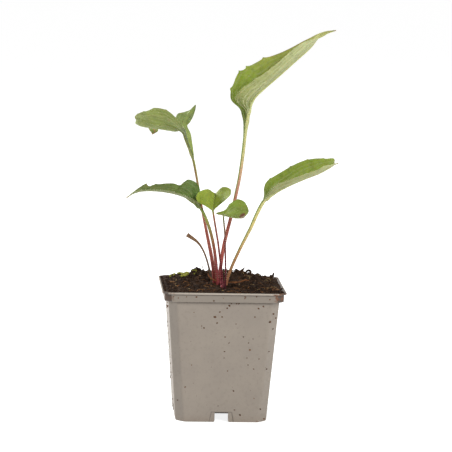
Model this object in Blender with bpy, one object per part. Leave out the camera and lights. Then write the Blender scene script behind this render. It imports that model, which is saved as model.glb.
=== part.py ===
"""A young coneflower plant in a square 9 cm nursery pot.

Six basal leaves and the dry stalk of a seventh stand in plain holes in the peat, round a short
red-budded crown. Each leaf with its petiole is one closed solid. Lengths below are in
millimetres, with z up from the pot's foot and the pot's middle at x = y = 0; the finished
object is then slid sideways, so that its box stands centred on the origin.
"""
import math

import bmesh
import bpy
from mathutils import Matrix, Vector, noise

MM = 0.001
GAP = 0.3
MERGE_DISTANCE = 0.0001

# Pot
POT_HEIGHT = 96.4
RIM_HALF = 45.0
RIM_CHAMFER = 5.2
BODY_CHAMFER = 6.1
BODY_HALF_AT_FOOT = 33.2
BODY_HALF_AT_RIM = 40.9
WALL = 1.3
BAND_HALF = 43.3
BAND_BOTTOM = 89.6
BEAD_HEIGHT = 1.3
RIM_TOP = 1.4
RIM_SLOPE = 2.2
FOOT_WIDTH = 2.0
FOOT_ROUND = 1.4
FLOOR_UNDERSIDE = 7.8
FLOOR_THICKNESS = 1.2
NOTCH_WIDTH = 9.8
NOTCH_HEIGHT = 7.3
NOTCH_FLARE = 1.3
PANEL_TOP_WIDTH = 14.8
PANEL_FOOT_WIDTH = 18.0
PANEL_HEIGHT = 7.6
PANEL_DEPTH = 0.35
DRAIN_RADIUS = 3.5
DRAIN_SPREAD = 19.0
EDGE_ROUND = 0.35
STEP_UNDER_BAND = 1.2

# Peat
PEAT_EDGE = 95.6
PEAT_MOUND = 6.8
PEAT_MOUND_Y = 27.0
MOUND_REACH_X = 36.0
MOUND_REACH_Y = 19.0
CLUMP_PLACE = (-18.0, 27.0)
CLUMP_HEIGHT = 2.2
DIP_PLACE = (1.0, -9.0)
DIP_DEPTH = 1.2
LUMPS = ((1.1, 9.0), (0.7, 3.4))
PEAT_CELLS = 18
CUT_TOP = 116.0

# Leaves
BLADE = 0.7
BLADE_COLUMNS = 4
STEM_ROWS = 11
TIP_HALF_WIDTH = 0.35
TOOTH_DROP = 0.025
TOOTH_CURL = 0.5
SHORTEST_STEP = 0.014
LONGEST_STEP = 0.07


def v3(points):
    """Turn a list of number triples into vectors."""
    return [Vector(point) for point in points]


def blend(low, high, share):
    return low + (high - low) * share


def smooth_share(value, low, high):
    """0 below low, 1 above high, with a smooth rise between them."""
    share = min(max((value - low) / (high - low), 0.0), 1.0)
    return share * share * (3.0 - 2.0 * share)


def on_curve(points, place):
    """A point on the smooth curve through the points; place counts them from 0."""
    last = len(points) - 1
    first = min(max(int(place), 0), last - 1)
    f = place - first
    b, c = points[first], points[first + 1]
    a = points[first - 1] if first > 0 else 2.0 * b - c
    d = points[first + 2] if first + 2 <= last else 2.0 * c - b
    return 0.5 * (2.0 * b + (c - a) * f + (2.0 * a - 5.0 * b + 4.0 * c - d) * f * f
                  + (3.0 * b - a - 3.0 * c + d) * f * f * f)


def material(name, colour, roughness):
    """A Principled material from a linear colour and a roughness."""
    made = bpy.data.materials.new(name)
    made.use_nodes = True
    shader = made.node_tree.nodes["Principled BSDF"]
    shader.inputs["Base Color"].default_value = (*colour, 1.0)
    shader.inputs["Roughness"].default_value = roughness
    return made


def object_from(bm, name, finish=None, sharp_deg=35.0):
    """Scale a bmesh from millimetres to metres and wrap it in an object."""
    bm.transform(Matrix.Scale(MM, 4))
    mesh = bpy.data.meshes.new(name)
    bm.to_mesh(mesh)
    bm.free()
    mesh.shade_smooth()
    mesh.set_sharp_from_angle(angle=math.radians(sharp_deg))
    made = bpy.data.objects.new(name, mesh)
    bpy.context.scene.collection.objects.link(made)
    if finish:
        mesh.materials.append(finish)
    return made


def as_cutter(cutter, target, operation="DIFFERENCE"):
    """Let one object cut another, and keep it out of the finished model."""
    cutter.hide_render = True
    cutter.display_type = "WIRE"
    cut = target.modifiers.new(cutter.name, "BOOLEAN")
    cut.operation = operation
    cut.solver = "EXACT"
    cut.object = cutter


# The pot: one ring of points, lofted up the outside, over the rim and down the inside

def soft_square(half, chamfer, z, softness=1.0):
    """A square ring with chamfered corners, each bend eased by three points."""
    corners = []
    for quarter in range(4):
        turn = Matrix.Rotation(quarter * math.pi / 2.0, 3, "Z")
        corners.append(turn @ Vector((half, half - chamfer, 0.0)))
        corners.append(turn @ Vector((half - chamfer, half, 0.0)))
    ring = []
    for k, corner in enumerate(corners):
        before = (corners[k - 1] - corner).normalized() * softness
        after = (corners[(k + 1) % len(corners)] - corner).normalized() * softness
        for point in (corner + before, corner + 0.25 * (before + after), corner + after):
            ring.append(Vector((point.x, point.y, z)))
    return ring


def loft(rings):
    """Extrude the first ring's face from ring to ring; the first and last faces close the ends."""
    bm = bmesh.new()
    face = bm.faces.new([bm.verts.new(point) for point in rings[0]])
    for count, ring in enumerate(rings[1:]):
        grown = bmesh.ops.extrude_face_region(bm, geom=[face])
        if count:
            bmesh.ops.delete(bm, geom=[face], context="FACES_ONLY")
        face = next(item for item in grown["geom"] if isinstance(item, bmesh.types.BMFace))
        for vert, point in zip(face.verts, ring):
            vert.co = point
    return outward(bm)


def outward(bm):
    """Point every face of a closed shape outwards."""
    bmesh.ops.recalc_face_normals(bm, faces=bm.faces[:])
    if bm.calc_volume(signed=True) < 0.0:
        bmesh.ops.reverse_faces(bm, faces=bm.faces[:])
    return bm


def body_half(z):
    """Half the outer width of the tapered body at a height."""
    return blend(BODY_HALF_AT_FOOT, BODY_HALF_AT_RIM, z / POT_HEIGHT)


def inner_rings(shrink=0.0, lift=0.0):
    """The inside of the pot from the floor up to the band, drawn in by shrink and raised by lift."""
    floor_top = FLOOR_UNDERSIDE + FLOOR_THICKNESS
    shelf = BAND_BOTTOM - 1.0
    inner_band = BAND_HALF - WALL - shrink
    return [
        soft_square(body_half(floor_top) - WALL - shrink, BODY_CHAMFER - 0.5, floor_top + lift),
        soft_square(body_half(shelf) - WALL - shrink, BODY_CHAMFER - 0.5, shelf + lift),
        soft_square(inner_band - 0.2, RIM_CHAMFER - 0.5, BAND_BOTTOM + 0.4 + lift),
    ]


def make_pot(finish):
    foot_inner = BODY_HALF_AT_FOOT - FOOT_WIDTH
    bead_bottom = POT_HEIGHT - BEAD_HEIGHT
    below_band = BAND_BOTTOM - STEP_UNDER_BAND
    outside = [
        soft_square(foot_inner - 0.3, BODY_CHAMFER - 1.0, FLOOR_UNDERSIDE),
        soft_square(foot_inner, BODY_CHAMFER - 1.0, 0.0),
        soft_square(BODY_HALF_AT_FOOT - 0.6 * FOOT_ROUND, BODY_CHAMFER, 0.0),
        soft_square(body_half(0.4) - 0.15 * FOOT_ROUND, BODY_CHAMFER, 0.4 * FOOT_ROUND),
        soft_square(body_half(FOOT_ROUND), BODY_CHAMFER, FOOT_ROUND),
        soft_square(body_half(below_band), BODY_CHAMFER, below_band),
        soft_square(BAND_HALF - 0.9, RIM_CHAMFER + 0.6, BAND_BOTTOM - 0.5),
        soft_square(BAND_HALF - 0.3, RIM_CHAMFER + 0.3, BAND_BOTTOM),
        soft_square(BAND_HALF, RIM_CHAMFER, bead_bottom - 0.7),
        soft_square(RIM_HALF - 0.2, RIM_CHAMFER, bead_bottom),
        soft_square(RIM_HALF, RIM_CHAMFER, bead_bottom + EDGE_ROUND),
        soft_square(RIM_HALF, RIM_CHAMFER, POT_HEIGHT - EDGE_ROUND),
        soft_square(RIM_HALF - EDGE_ROUND, RIM_CHAMFER, POT_HEIGHT),
        soft_square(RIM_HALF - RIM_TOP + 0.2, RIM_CHAMFER - 0.3, POT_HEIGHT),
        soft_square(RIM_HALF - RIM_TOP, RIM_CHAMFER - 0.3, POT_HEIGHT - 0.2),
        soft_square(BAND_HALF - WALL, RIM_CHAMFER - 0.5, POT_HEIGHT - RIM_SLOPE),
    ]
    pot = object_from(loft(outside + inner_rings()[::-1]), "pot", finish)
    for turn in range(2):
        as_cutter(make_side_cutter("notch_cutter", notch_outline(), turn, 2.0 * RIM_HALF), pot)
    for turn in range(4):
        as_cutter(make_panel_cutter(turn), pot)
    as_cutter(make_drain_cutter(), pot)
    return pot


def notch_outline():
    """The notch in the foot of each side, square at the top and flared at the ground."""
    half = NOTCH_WIDTH / 2.0
    side = [(half, NOTCH_HEIGHT)]
    for step in range(4):
        angle = step * math.pi / 6.0
        side.append((half + NOTCH_FLARE * (1.0 - math.cos(angle)),
                     NOTCH_FLARE * (1.0 - math.sin(angle))))
    side.append((half + NOTCH_FLARE, -1.0))
    return side + [(-x, z) for x, z in reversed(side)]


def make_side_cutter(name, outline, turn, length):
    """Extrude an outline along y, right through the pot, and turn it to a pair of sides."""
    bm = bmesh.new()
    face = bm.faces.new([bm.verts.new((x, -length / 2.0, z)) for x, z in outline])
    grown = bmesh.ops.extrude_face_region(bm, geom=[face])
    moved = [item for item in grown["geom"] if isinstance(item, bmesh.types.BMVert)]
    bmesh.ops.translate(bm, verts=moved, vec=(0.0, length, 0.0))
    bmesh.ops.recalc_face_normals(bm, faces=bm.faces[:])
    bm.transform(Matrix.Rotation(turn * math.pi / 2.0, 4, "Z"))
    return object_from(bm, f"{name}_{turn}")


def make_panel_cutter(turn):
    """A wedge that sinks a shallow panel round the notch, parallel to the sloping wall."""
    low, high = -1.0, PANEL_HEIGHT
    bm = bmesh.new()
    verts = []
    for depth in (-5.0, PANEL_DEPTH):
        for half, z in ((PANEL_FOOT_WIDTH / 2.0, low), (PANEL_TOP_WIDTH / 2.0, high)):
            y = -body_half(z) + depth
            verts.append([bm.verts.new((-half, y, z)), bm.verts.new((half, y, z))])
    outer_low, outer_high, inner_low, inner_high = verts
    bmesh.ops.convex_hull(bm, input=outer_low + outer_high + inner_low + inner_high)
    bmesh.ops.recalc_face_normals(bm, faces=bm.faces[:])
    bm.transform(Matrix.Rotation(turn * math.pi / 2.0, 4, "Z"))
    return object_from(bm, f"panel_cutter_{turn}")


def make_drain_cutter():
    """Nine round drain holes through the raised floor, clear of each other."""
    bm = bmesh.new()
    for row in (-1, 0, 1):
        for column in (-1, 0, 1):
            place = Matrix.Translation((row * DRAIN_SPREAD, column * DRAIN_SPREAD, FLOOR_UNDERSIDE))
            bmesh.ops.create_cone(bm, cap_ends=True, segments=12, radius1=DRAIN_RADIUS,
                                  radius2=DRAIN_RADIUS, depth=4.0 * FLOOR_THICKNESS, matrix=place)
    return object_from(bm, "drain_cutter")


# The peat: a rough mounded top, cut to the inside of the pot

def hill(x, y):
    """A round hill of height 1, falling to about a third at x or y = 1."""
    return math.exp(-x * x - y * y)


def peat_height(x, y):
    """Height of the peat: flush with the rim, a low mound behind the crown and lumps all over."""
    edge = max(abs(x), abs(y)) / (BAND_HALF - WALL)
    mound = PEAT_MOUND * hill(x / MOUND_REACH_X, (y - PEAT_MOUND_Y) / MOUND_REACH_Y)
    clump = CLUMP_HEIGHT * hill((x - CLUMP_PLACE[0]) / 3.7, (y - CLUMP_PLACE[1]) / 3.7)
    dip = DIP_DEPTH * hill((x - DIP_PLACE[0]) / 7.7, (y - DIP_PLACE[1]) / 7.7)
    lumps = sum(high * noise.noise(Vector((x / long, y / long, long))) for high, long in LUMPS)
    raised = (mound + clump) * (1.0 - smooth_share(edge, 0.7, 1.05))
    return PEAT_EDGE + raised - dip + lumps * (1.0 - 0.6 * smooth_share(edge, 0.75, 1.0))


def make_peat(finish, standing):
    bm = bmesh.new()
    bmesh.ops.create_grid(bm, x_segments=PEAT_CELLS, y_segments=PEAT_CELLS, size=RIM_HALF)
    bmesh.ops.triangulate(bm, faces=bm.faces[:], quad_method="FIXED")
    bottom = bm.verts[:]
    grown = bmesh.ops.extrude_face_region(bm, geom=bm.faces[:], use_keep_orig=True)
    for vert in (item for item in grown["geom"] if isinstance(item, bmesh.types.BMVert)):
        vert.co.z = peat_height(vert.co.x, vert.co.y)
    for vert in bottom:
        vert.co.z = 0.0
    bmesh.ops.recalc_face_normals(bm, faces=bm.faces[:])
    peat = object_from(bm, "peat", finish, sharp_deg=60.0)
    rings = inner_rings(shrink=GAP, lift=GAP)
    rings.append(soft_square(BAND_HALF - WALL - GAP, RIM_CHAMFER - 0.5, POT_HEIGHT + 20.0))
    as_cutter(object_from(loft(rings), "pot_inside"), peat, "INTERSECT")
    for leaf in standing:
        as_cutter(leaf.build(f"hole_{leaf.name}", swell=GAP, buried_only=True), peat)
    as_cutter(make_crown_hole(), peat)
    return peat


# Leaves: each one is drawn by its petiole, its midrib and its two edges

class Leaf:
    """A petiole that widens into a folded blade, as one thin closed sheet with a thick rib."""

    def __init__(self, name, finish, petiole, widths, thickness, side, midrib=(), near=(), far=(),
                 under=(0.0, 0.0, -1.0), bows=(0.08, 0.08), teeth=(), tooth=(0.0, 0.0),
                 columns=BLADE_COLUMNS):
        self.name = name
        self.finish = finish
        self.spine = v3(petiole) + v3(midrib)
        self.joint = len(petiole) - (0 if midrib else 1)
        self.widths = widths
        self.thickness = thickness
        self.side = Vector(side)
        self.under = Vector(under).normalized()
        self.bows = bows
        self.teeth = teeth
        self.tooth = tooth
        self.columns = columns
        self.stations = len(midrib) - 1
        self.edges = [self.whole_edge(near, -1.0), self.whole_edge(far, 1.0)] if midrib else None
        self.turned = 1.0
        self.turned = self.underside_sign()

    def stem_size(self, sizes, place):
        """The petiole's width or thickness, from a list of sizes spread evenly along it."""
        share = min(place / self.joint, 1.0) * (len(sizes) - 1)
        first = min(int(share), len(sizes) - 2)
        return blend(sizes[first], sizes[first + 1], share - first)

    def stem_half_width(self, place):
        return 0.5 * self.stem_size(self.widths, place)

    def sideways(self, place):
        """The direction across the petiole, square to its run."""
        run = on_curve(self.spine, place + 0.01) - on_curve(self.spine, place - 0.01)
        across = self.side - run * (self.side.dot(run) / run.length_squared)
        return across.normalized()

    def whole_edge(self, points, sign):
        """An edge of the blade, from the top of the petiole to the tip."""
        across = self.sideways(self.joint)
        start = self.spine[self.joint] - across * (sign * self.stem_half_width(self.joint))
        tip = self.spine[-1] - across * (sign * TIP_HALF_WIDTH)
        return [start] + v3(points) + [tip]

    def reach(self, place, sign, swell=0.0):
        """The vector from the spine to one edge, with the blade's teeth on it."""
        if place <= self.joint:
            half = self.stem_half_width(place) + swell
            return self.sideways(place) * (-sign * half)
        along = place - self.joint
        edge = on_curve(self.edges[0 if sign < 0.0 else 1], along)
        reach = edge - on_curve(self.spine, place)
        share = along / self.stations
        size = self.tooth[0 if sign < 0.0 else 1] * (1.0 - 0.5 * share) * self.tooth_share(share)
        return reach + (reach.normalized() - TOOTH_CURL * self.under) * size

    def tooth_share(self, share):
        """How far a tooth stands out: it rises towards the tip and drops off sharply."""
        start = 0.0
        for peak in self.teeth:
            if start < share <= peak:
                return ((share - start) / (peak - start)) ** 3
            start = peak + TOOTH_DROP
            if peak < share < start:
                return (start - share) / TOOTH_DROP
        return 0.0

    def middle(self, place, across, swell=0.0):
        """A point on the sheet's middle surface; across runs from -1 to 1."""
        reach = self.reach(place, -1.0 if across < 0.0 else 1.0, swell)
        out = abs(across)
        point = on_curve(self.spine, place) + reach * out
        if place > self.joint:
            chord = reach.normalized()
            down = self.under - chord * self.under.dot(chord)
            bow = self.bows[0 if across < 0.0 else 1] * smooth_share(reach.length, 1.5, 6.0)
            point = point + down.normalized() * (4.0 * bow * reach.length * out * (1.0 - out))
        return point

    def normal(self, place, across):
        """The sheet's normal, always towards the underside."""
        step = 0.02
        low, high = place - step, min(place + step, len(self.spine) - 1.0)
        along = self.middle(high, across) - self.middle(low, across)
        left, right = max(across - step, -1.0), min(across + step, 1.0)
        wide = self.middle(place, right) - self.middle(place, left)
        return along.cross(wide).normalized() * self.turned

    def underside_sign(self):
        """Which way round the sheet lies, read where the blade is widest."""
        place = self.joint + 0.4 * max(self.stations, 0)
        return 1.0 if self.normal(place, 0.0).dot(self.under) > 0.0 else -1.0

    def rib(self, place):
        """Half-width and thickness of the rib, which runs out thin towards the tip."""
        half = 1.02 * self.stem_half_width(place)
        thick = self.stem_size(self.thickness, place)
        if place <= self.joint or self.stations < 1:
            return half, thick
        share = (place - self.joint) / self.stations
        return blend(half, 0.6, share ** 0.6), blend(thick, BLADE + 0.1, share ** 0.6)

    def spread(self, place, column):
        """Where a column lies, from 0 at the rib to 1 at the edge: close by the rib in the blade."""
        if column == 0:
            return 0.0
        out = column / self.columns
        round_place = math.sin(out * math.pi / 2.0)
        half, _ = self.rib(place)
        reach = min(self.reach(place, -1.0).length, self.reach(place, 1.0).length)
        by_rib = min(0.8 * half / reach, out)
        flat_place = by_rib + (1.0 - by_rib) * (column - 1) / (self.columns - 1)
        return blend(round_place, flat_place, smooth_share(reach / half, 1.1, 2.2))

    def point(self, place, column, lower, swell=0.0):
        """A point on the upper or lower face."""
        sign = -1.0 if column < 0 else 1.0
        across = sign * self.spread(place, abs(column))
        half, thick = self.rib(place)
        reach = self.reach(place, sign).length
        off = min(abs(across) * reach / half, 1.0)
        full = BLADE + (thick - BLADE) * math.sqrt(max(1.0 - off * off, 0.0)) + 2.0 * swell
        flat = smooth_share(reach / half, 1.2, 3.0)
        above = blend(full / 2.0, BLADE / 2.0, flat)
        step = full - above if lower else -above
        return self.middle(place, across, swell) + self.normal(place, across) * step

    def rows(self):
        """Places along the leaf: even down the petiole, then at each station and each tooth."""
        places = [self.joint * k / STEM_ROWS for k in range(STEM_ROWS)]
        if self.stations < 1:
            return places + [float(self.joint)]
        shares = [k / self.stations for k in range(self.stations)]
        for peak in self.teeth:
            shares += [peak, peak + TOOTH_DROP]
        kept = [0.0]
        for share in sorted(shares) + [1.0]:
            if share - kept[-1] > LONGEST_STEP:
                kept.append((share + kept[-1]) / 2.0)
            if share - kept[-1] > SHORTEST_STEP:
                kept.append(share)
        return places + [self.joint + share * self.stations for share in kept]

    def build(self, name, swell=0.0, buried_only=False):
        """The closed sheet, or with buried_only the plug that bores its hole in the peat."""
        rows = self.rows()
        if buried_only:
            below = -swell / (self.spine[1] - self.spine[0]).length
            rows = [below] + [row for row in rows[1:] if on_curve(self.spine, row).z < CUT_TOP]
        wide = 2 * self.columns
        long = len(rows) - 1
        bm = bmesh.new()
        bmesh.ops.create_grid(bm, x_segments=wide, y_segments=long, size=0.5)
        bmesh.ops.triangulate(bm, faces=bm.faces[:], quad_method="FIXED")
        lower = bm.verts[:]
        grown = bmesh.ops.extrude_face_region(bm, geom=bm.faces[:], use_keep_orig=True)
        upper = [item for item in grown["geom"] if isinstance(item, bmesh.types.BMVert)]
        for verts, is_lower in ((lower, True), (upper, False)):
            for vert in verts:
                column = round((vert.co.x + 0.5) * wide) - self.columns
                row = round((vert.co.y + 0.5) * long)
                vert.co = self.point(rows[row], column, is_lower, swell)
        return object_from(outward(bm), name, self.finish, sharp_deg=50.0)


# The crown: a short rootstock with red buds, which the petioles stand round

CROWN_PLACE = (0.6, -5.2)
CROWN_TOP = 96.6
CROWN_RADIUS = 1.9
CROWN_DEPTH = 8.0
BUDS = (
    # x, y, height over the crown, radius, lean to x
    (-0.9, 0.3, 3.4, 0.85, -0.14),
    (0.8, 0.6, 4.0, 0.80, 0.10),
    (0.1, -0.9, 2.2, 0.95, 0.02),
    (-0.1, 1.0, 4.8, 0.70, -0.04),
)


def turned_solid(bm, profile, segments, place):
    """Close a profile of (radius, height) points by turning it about z."""
    verts = [bm.verts.new((radius, 0.0, z)) for radius, z in profile]
    edges = [bm.edges.new(pair) for pair in zip(verts, verts[1:])]
    bmesh.ops.spin(bm, geom=verts + edges, angle=2.0 * math.pi, steps=segments,
                   axis=(0.0, 0.0, 1.0), cent=(0.0, 0.0, 0.0), use_merge=True)
    bmesh.ops.remove_doubles(bm, verts=bm.verts[:], dist=MERGE_DISTANCE)
    bmesh.ops.recalc_face_normals(bm, faces=bm.faces[:])
    bm.transform(place)


def make_crown(finish):
    stock = bmesh.new()
    foot = CROWN_TOP - CROWN_DEPTH
    turned_solid(stock, [(0.0, foot), (0.55 * CROWN_RADIUS, foot), (CROWN_RADIUS, foot + 4.0),
                         (CROWN_RADIUS, CROWN_TOP - 0.8), (0.7 * CROWN_RADIUS, CROWN_TOP),
                         (0.0, CROWN_TOP + 0.2)], 12, Matrix.Translation((*CROWN_PLACE, 0.0)))
    crown = object_from(stock, "crown", finish)
    buds = bpy.data.collections.new("crown_buds")
    bpy.context.scene.collection.children.link(buds)
    for x, y, height, radius, lean in BUDS:
        place = Matrix.Translation((CROWN_PLACE[0] + x, CROWN_PLACE[1] + y, CROWN_TOP - 2.0))
        place = place @ Matrix.Shear("XY", 4, (lean, 0.0))
        bm = bmesh.new()
        top = height + 2.0
        turned_solid(bm, [(0.0, 0.0), (0.8 * radius, 0.3), (radius, 0.45 * top),
                          (0.75 * radius, 0.72 * top), (0.3 * radius, 0.94 * top), (0.0, top)],
                     8, place)
        bud = object_from(bm, "bud")
        bpy.context.scene.collection.objects.unlink(bud)
        buds.objects.link(bud)
    join = crown.modifiers.new("join_buds", "BOOLEAN")
    join.operation = "UNION"
    join.solver = "EXACT"
    join.operand_type = "COLLECTION"
    join.collection = buds
    bpy.context.view_layer.update()
    seen = crown.evaluated_get(bpy.context.evaluated_depsgraph_get())
    joined = bpy.data.meshes.new_from_object(seen)
    crown.modifiers.clear()
    crown.data = joined
    for bud in list(buds.objects):
        bpy.data.objects.remove(bud)
    bpy.data.collections.remove(buds)
    return crown


def make_crown_hole():
    """The plain round hole that the crown stands in."""
    bm = bmesh.new()
    depth = CROWN_DEPTH + GAP + 12.0
    middle = Matrix.Translation((*CROWN_PLACE, CROWN_TOP - CROWN_DEPTH - GAP + depth / 2.0))
    bmesh.ops.create_cone(bm, cap_ends=True, segments=14, radius1=CROWN_RADIUS + 2.0 * GAP,
                          radius2=CROWN_RADIUS + 2.0 * GAP, depth=depth, matrix=middle)
    return object_from(bm, "crown_hole")


# The plant's leaves, with points measured along their outlines

def all_leaves(green, dry):
    toward = (0.0, -1.0, 0.0)
    tall = Leaf(
        "leaf_tall", green,
        petiole=[(-1.6, 4.7, 87.0), (-1.6, 4.4, 95.9), (-1.5, 4.2, 101.1), (-0.3, 4.2, 112.3),
                 (1.0, 4.5, 122.7), (3.3, 5.0, 133.7), (6.1, 5.5, 145.5), (9.3, 6.5, 161.0),
                 (12.1, 8.0, 175.6)],
        widths=(2.4, 2.6, 2.6), thickness=(2.5, 2.7, 2.9, 2.8, 2.8, 2.8), side=toward,
        midrib=[(14.3, 9.0, 193.2), (16.2, 10.0, 213.0), (17.3, 10.0, 220.4), (18.0, 10.0, 224.4),
                (18.9, 10.0, 228.2), (21.9, 10.5, 233.7), (28.9, 12.0, 240.4), (40.0, 14.5, 249.9),
                (51.1, 17.5, 259.7), (62.6, 20.5, 270.0), (69.6, 23.0, 278.5), (75.6, 24.4, 281.2),
                (81.9, 25.0, 282.7)],
        near=[(15.7, 8.3, 213.0), (16.6, 8.6, 220.8), (13.5, 3.5, 225.8), (7.7, -4.0, 231.4),
              (8.5, -9.0, 238.2), (20.5, -8.0, 247.7), (32.3, -4.0, 255.7), (43.4, 1.0, 265.3),
              (56.3, 9.0, 274.4), (69.5, 17.5, 277.6), (75.8, 21.5, 280.6)],
        far=[(14.3, 11.6, 212.7), (13.0, 13.0, 220.4), (11.5, 16.0, 224.7), (5.4, 19.0, 232.0),
             (8.8, 21.5, 247.3), (16.5, 22.5, 254.1), (28.7, 23.5, 260.6), (43.9, 25.5, 266.7),
             (59.7, 27.5, 275.0), (69.6, 27.0, 280.0), (75.3, 26.0, 282.2)],
        under=(0.8, -0.3, -0.5), teeth=(0.367, 0.454, 0.504, 0.588, 0.666, 0.750, 0.833),
        tooth=(0.9, 1.3))
    right = Leaf(
        "leaf_right", green,
        petiole=[(2.6, 2.2, 87.0), (3.6, 1.5, 96.4), (4.8, 1.0, 102.4), (7.1, -0.5, 109.3),
                 (10.1, -2.5, 117.1), (13.4, -4.5, 125.0), (16.8, -6.5, 132.6), (20.1, -8.5, 140.0),
                 (24.1, -10.8, 150.4)],
        widths=(2.0, 2.1, 2.3), thickness=(2.3, 2.3, 2.4, 2.5, 2.8, 3.0), side=toward,
        midrib=[(27.8, -12.5, 158.3), (30.9, -13.8, 162.8), (34.6, -15.0, 165.9), (39.9, -17.0, 169.5),
                (48.4, -19.5, 174.1), (57.5, -22.0, 178.3), (66.6, -24.5, 182.2), (73.5, -26.5, 186.1),
                (77.0, -27.5, 188.5), (78.1, -27.7, 188.9), (80.8, -28.0, 189.8)],
        near=[(30.5, -17.0, 164.5), (32.9, -23.0, 169.1), (37.3, -28.0, 174.0), (45.8, -32.0, 177.7),
              (54.8, -34.5, 181.9), (64.0, -36.0, 185.4), (70.6, -34.0, 188.5), (76.1, -29.5, 188.9),
              (78.0, -28.2, 189.2)],
        far=[(28.8, -11.0, 164.0), (29.1, -9.0, 169.5), (32.5, -8.5, 174.9), (44.7, -11.0, 183.2),
             (53.6, -13.5, 188.5), (63.4, -17.0, 191.7), (72.0, -21.5, 192.4), (77.6, -25.5, 193.0),
             (77.9, -27.3, 189.6)],
        under=(0.4, -0.3, -0.8), teeth=(0.31, 0.43, 0.56, 0.68), tooth=(0.5, 0.5))
    upper_left = Leaf(
        "leaf_upper_left", green,
        petiole=[(-4.9, 2.1, 87.0), (-4.6, 2.4, 95.4), (-4.9, 2.7, 99.8), (-5.9, 3.2, 107.9),
                 (-8.0, 5.0, 119.1), (-10.6, 7.5, 131.0), (-12.9, 10.0, 141.7), (-15.5, 12.5, 154.0),
                 (-18.0, 14.5, 167.8), (-19.8, 15.5, 177.3)],
        widths=(1.9, 1.8, 1.6), thickness=(2.1, 2.1, 2.0, 1.9, 1.9, 2.0), side=toward,
        midrib=[(-21.1, 16.0, 183.5), (-23.6, 17.0, 191.5), (-26.1, 17.4, 196.8), (-28.2, 17.8, 201.6),
                (-29.7, 18.0, 205.7), (-30.8, 18.0, 207.4), (-31.3, 18.0, 207.7), (-31.6, 18.0, 207.9),
                (-32.2, 18.0, 208.3), (-33.0, 18.0, 208.7), (-33.8, 18.0, 209.1), (-37.9, 17.5, 210.7),
                (-43.1, 17.0, 211.9), (-49.7, 16.0, 211.9), (-57.1, 15.5, 214.0), (-62.1, 17.0, 216.2),
                (-63.5, 24.0, 214.9), (-59.5, 32.0, 211.7), (-52.6, 36.0, 208.4), (-50.3, 36.0, 204.9),
                (-51.5, 35.0, 202.8)],
        near=[(-22.0, 15.5, 190.5), (-25.0, 15.0, 197.8), (-26.9, 14.0, 203.9), (-28.0, 11.5, 208.6),
              (-29.3, 10.4, 210.2), (-29.7, 10.0, 210.7), (-30.0, 9.8, 211.0), (-30.4, 9.4, 211.4),
              (-30.8, 9.0, 211.9), (-31.5, 8.5, 212.7), (-36.7, 6.0, 218.5), (-43.0, 5.0, 223.2),
              (-50.0, 5.0, 224.7), (-57.2, 6.0, 222.2), (-62.1, 10.0, 220.6), (-65.3, 18.0, 217.0),
              (-62.6, 28.0, 213.1), (-56.0, 34.0, 208.9), (-53.1, 34.0, 205.1)],
        far=[(-21.7, 18.5, 191.0), (-22.6, 20.5, 197.8), (-23.9, 21.0, 205.1), (-26.4, 21.3, 210.6),
             (-25.5, 22.5, 215.7), (-22.0, 24.0, 220.3), (-20.4, 25.0, 226.0), (-24.6, 26.5, 222.0),
             (-28.6, 28.0, 220.2), (-34.0, 29.0, 217.5), (-29.6, 32.0, 207.2), (-36.5, 32.0, 206.9),
             (-44.0, 30.0, 208.3), (-53.6, 28.0, 208.5), (-60.1, 28.0, 209.3), (-64.0, 30.0, 211.1),
             (-59.7, 34.0, 209.2), (-49.6, 37.0, 208.0), (-47.3, 37.0, 205.1)],
        under=(-0.5, -0.3, -0.8), bows=(0.05, 0.14), teeth=(0.600, 0.664, 0.720, 0.768),
        tooth=(0.7, 0.7))
    lower_left = Leaf(
        "leaf_lower_left", green,
        petiole=[(-2.6, -1.5, 87.0), (-2.8, -1.5, 96.8), (-3.3, -1.5, 102.7), (-4.3, -1.8, 111.6),
                 (-5.6, -2.8, 120.9), (-7.6, -4.5, 130.4), (-10.2, -6.5, 139.1), (-13.0, -8.2, 146.2)],
        widths=(1.9, 2.0, 2.2), thickness=(2.1, 2.2, 2.2, 2.1, 2.1, 2.2), side=toward,
        midrib=[(-16.5, -9.2, 152.9), (-20.5, -10.5, 157.4), (-25.2, -12.0, 160.7),
                (-28.0, -12.9, 162.5), (-31.1, -14.0, 163.7), (-34.6, -15.2, 164.8),
                (-38.4, -16.5, 165.7), (-42.7, -17.8, 166.6), (-47.1, -19.0, 167.3),
                (-51.3, -20.3, 167.7), (-55.2, -21.5, 167.9), (-58.6, -22.6, 167.8),
                (-61.7, -23.5, 167.5), (-64.4, -24.2, 166.7), (-66.8, -25.0, 165.7),
                (-71.6, -27.0, 162.4)],
        near=[(-19.2, -14.0, 158.8), (-24.8, -20.5, 162.1), (-27.6, -23.7, 163.5),
              (-30.8, -26.5, 164.9), (-34.7, -28.2, 166.4), (-38.9, -29.5, 167.8),
              (-43.4, -30.6, 168.5), (-47.8, -31.5, 168.8), (-51.7, -32.2, 169.0),
              (-55.3, -32.5, 169.0), (-58.8, -32.5, 168.7), (-62.0, -32.0, 168.1),
              (-64.6, -30.9, 167.0), (-66.9, -29.5, 165.8)],
        far=[(-16.6, -5.0, 157.5), (-17.4, -2.5, 166.0), (-20.4, -3.5, 171.4), (-25.9, -4.5, 173.7),
             (-29.1, -5.8, 172.1), (-32.6, -7.0, 169.7), (-37.0, -8.2, 171.5), (-43.1, -9.5, 171.4),
             (-47.7, -11.2, 170.2), (-51.8, -13.0, 168.7), (-54.9, -14.8, 168.7),
             (-58.0, -16.5, 170.0), (-61.5, -18.8, 168.5), (-64.9, -21.0, 166.4)],
        under=(-0.3, -0.3, -0.9), teeth=(0.616, 0.771), tooth=(0.4, 1.9))
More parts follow.
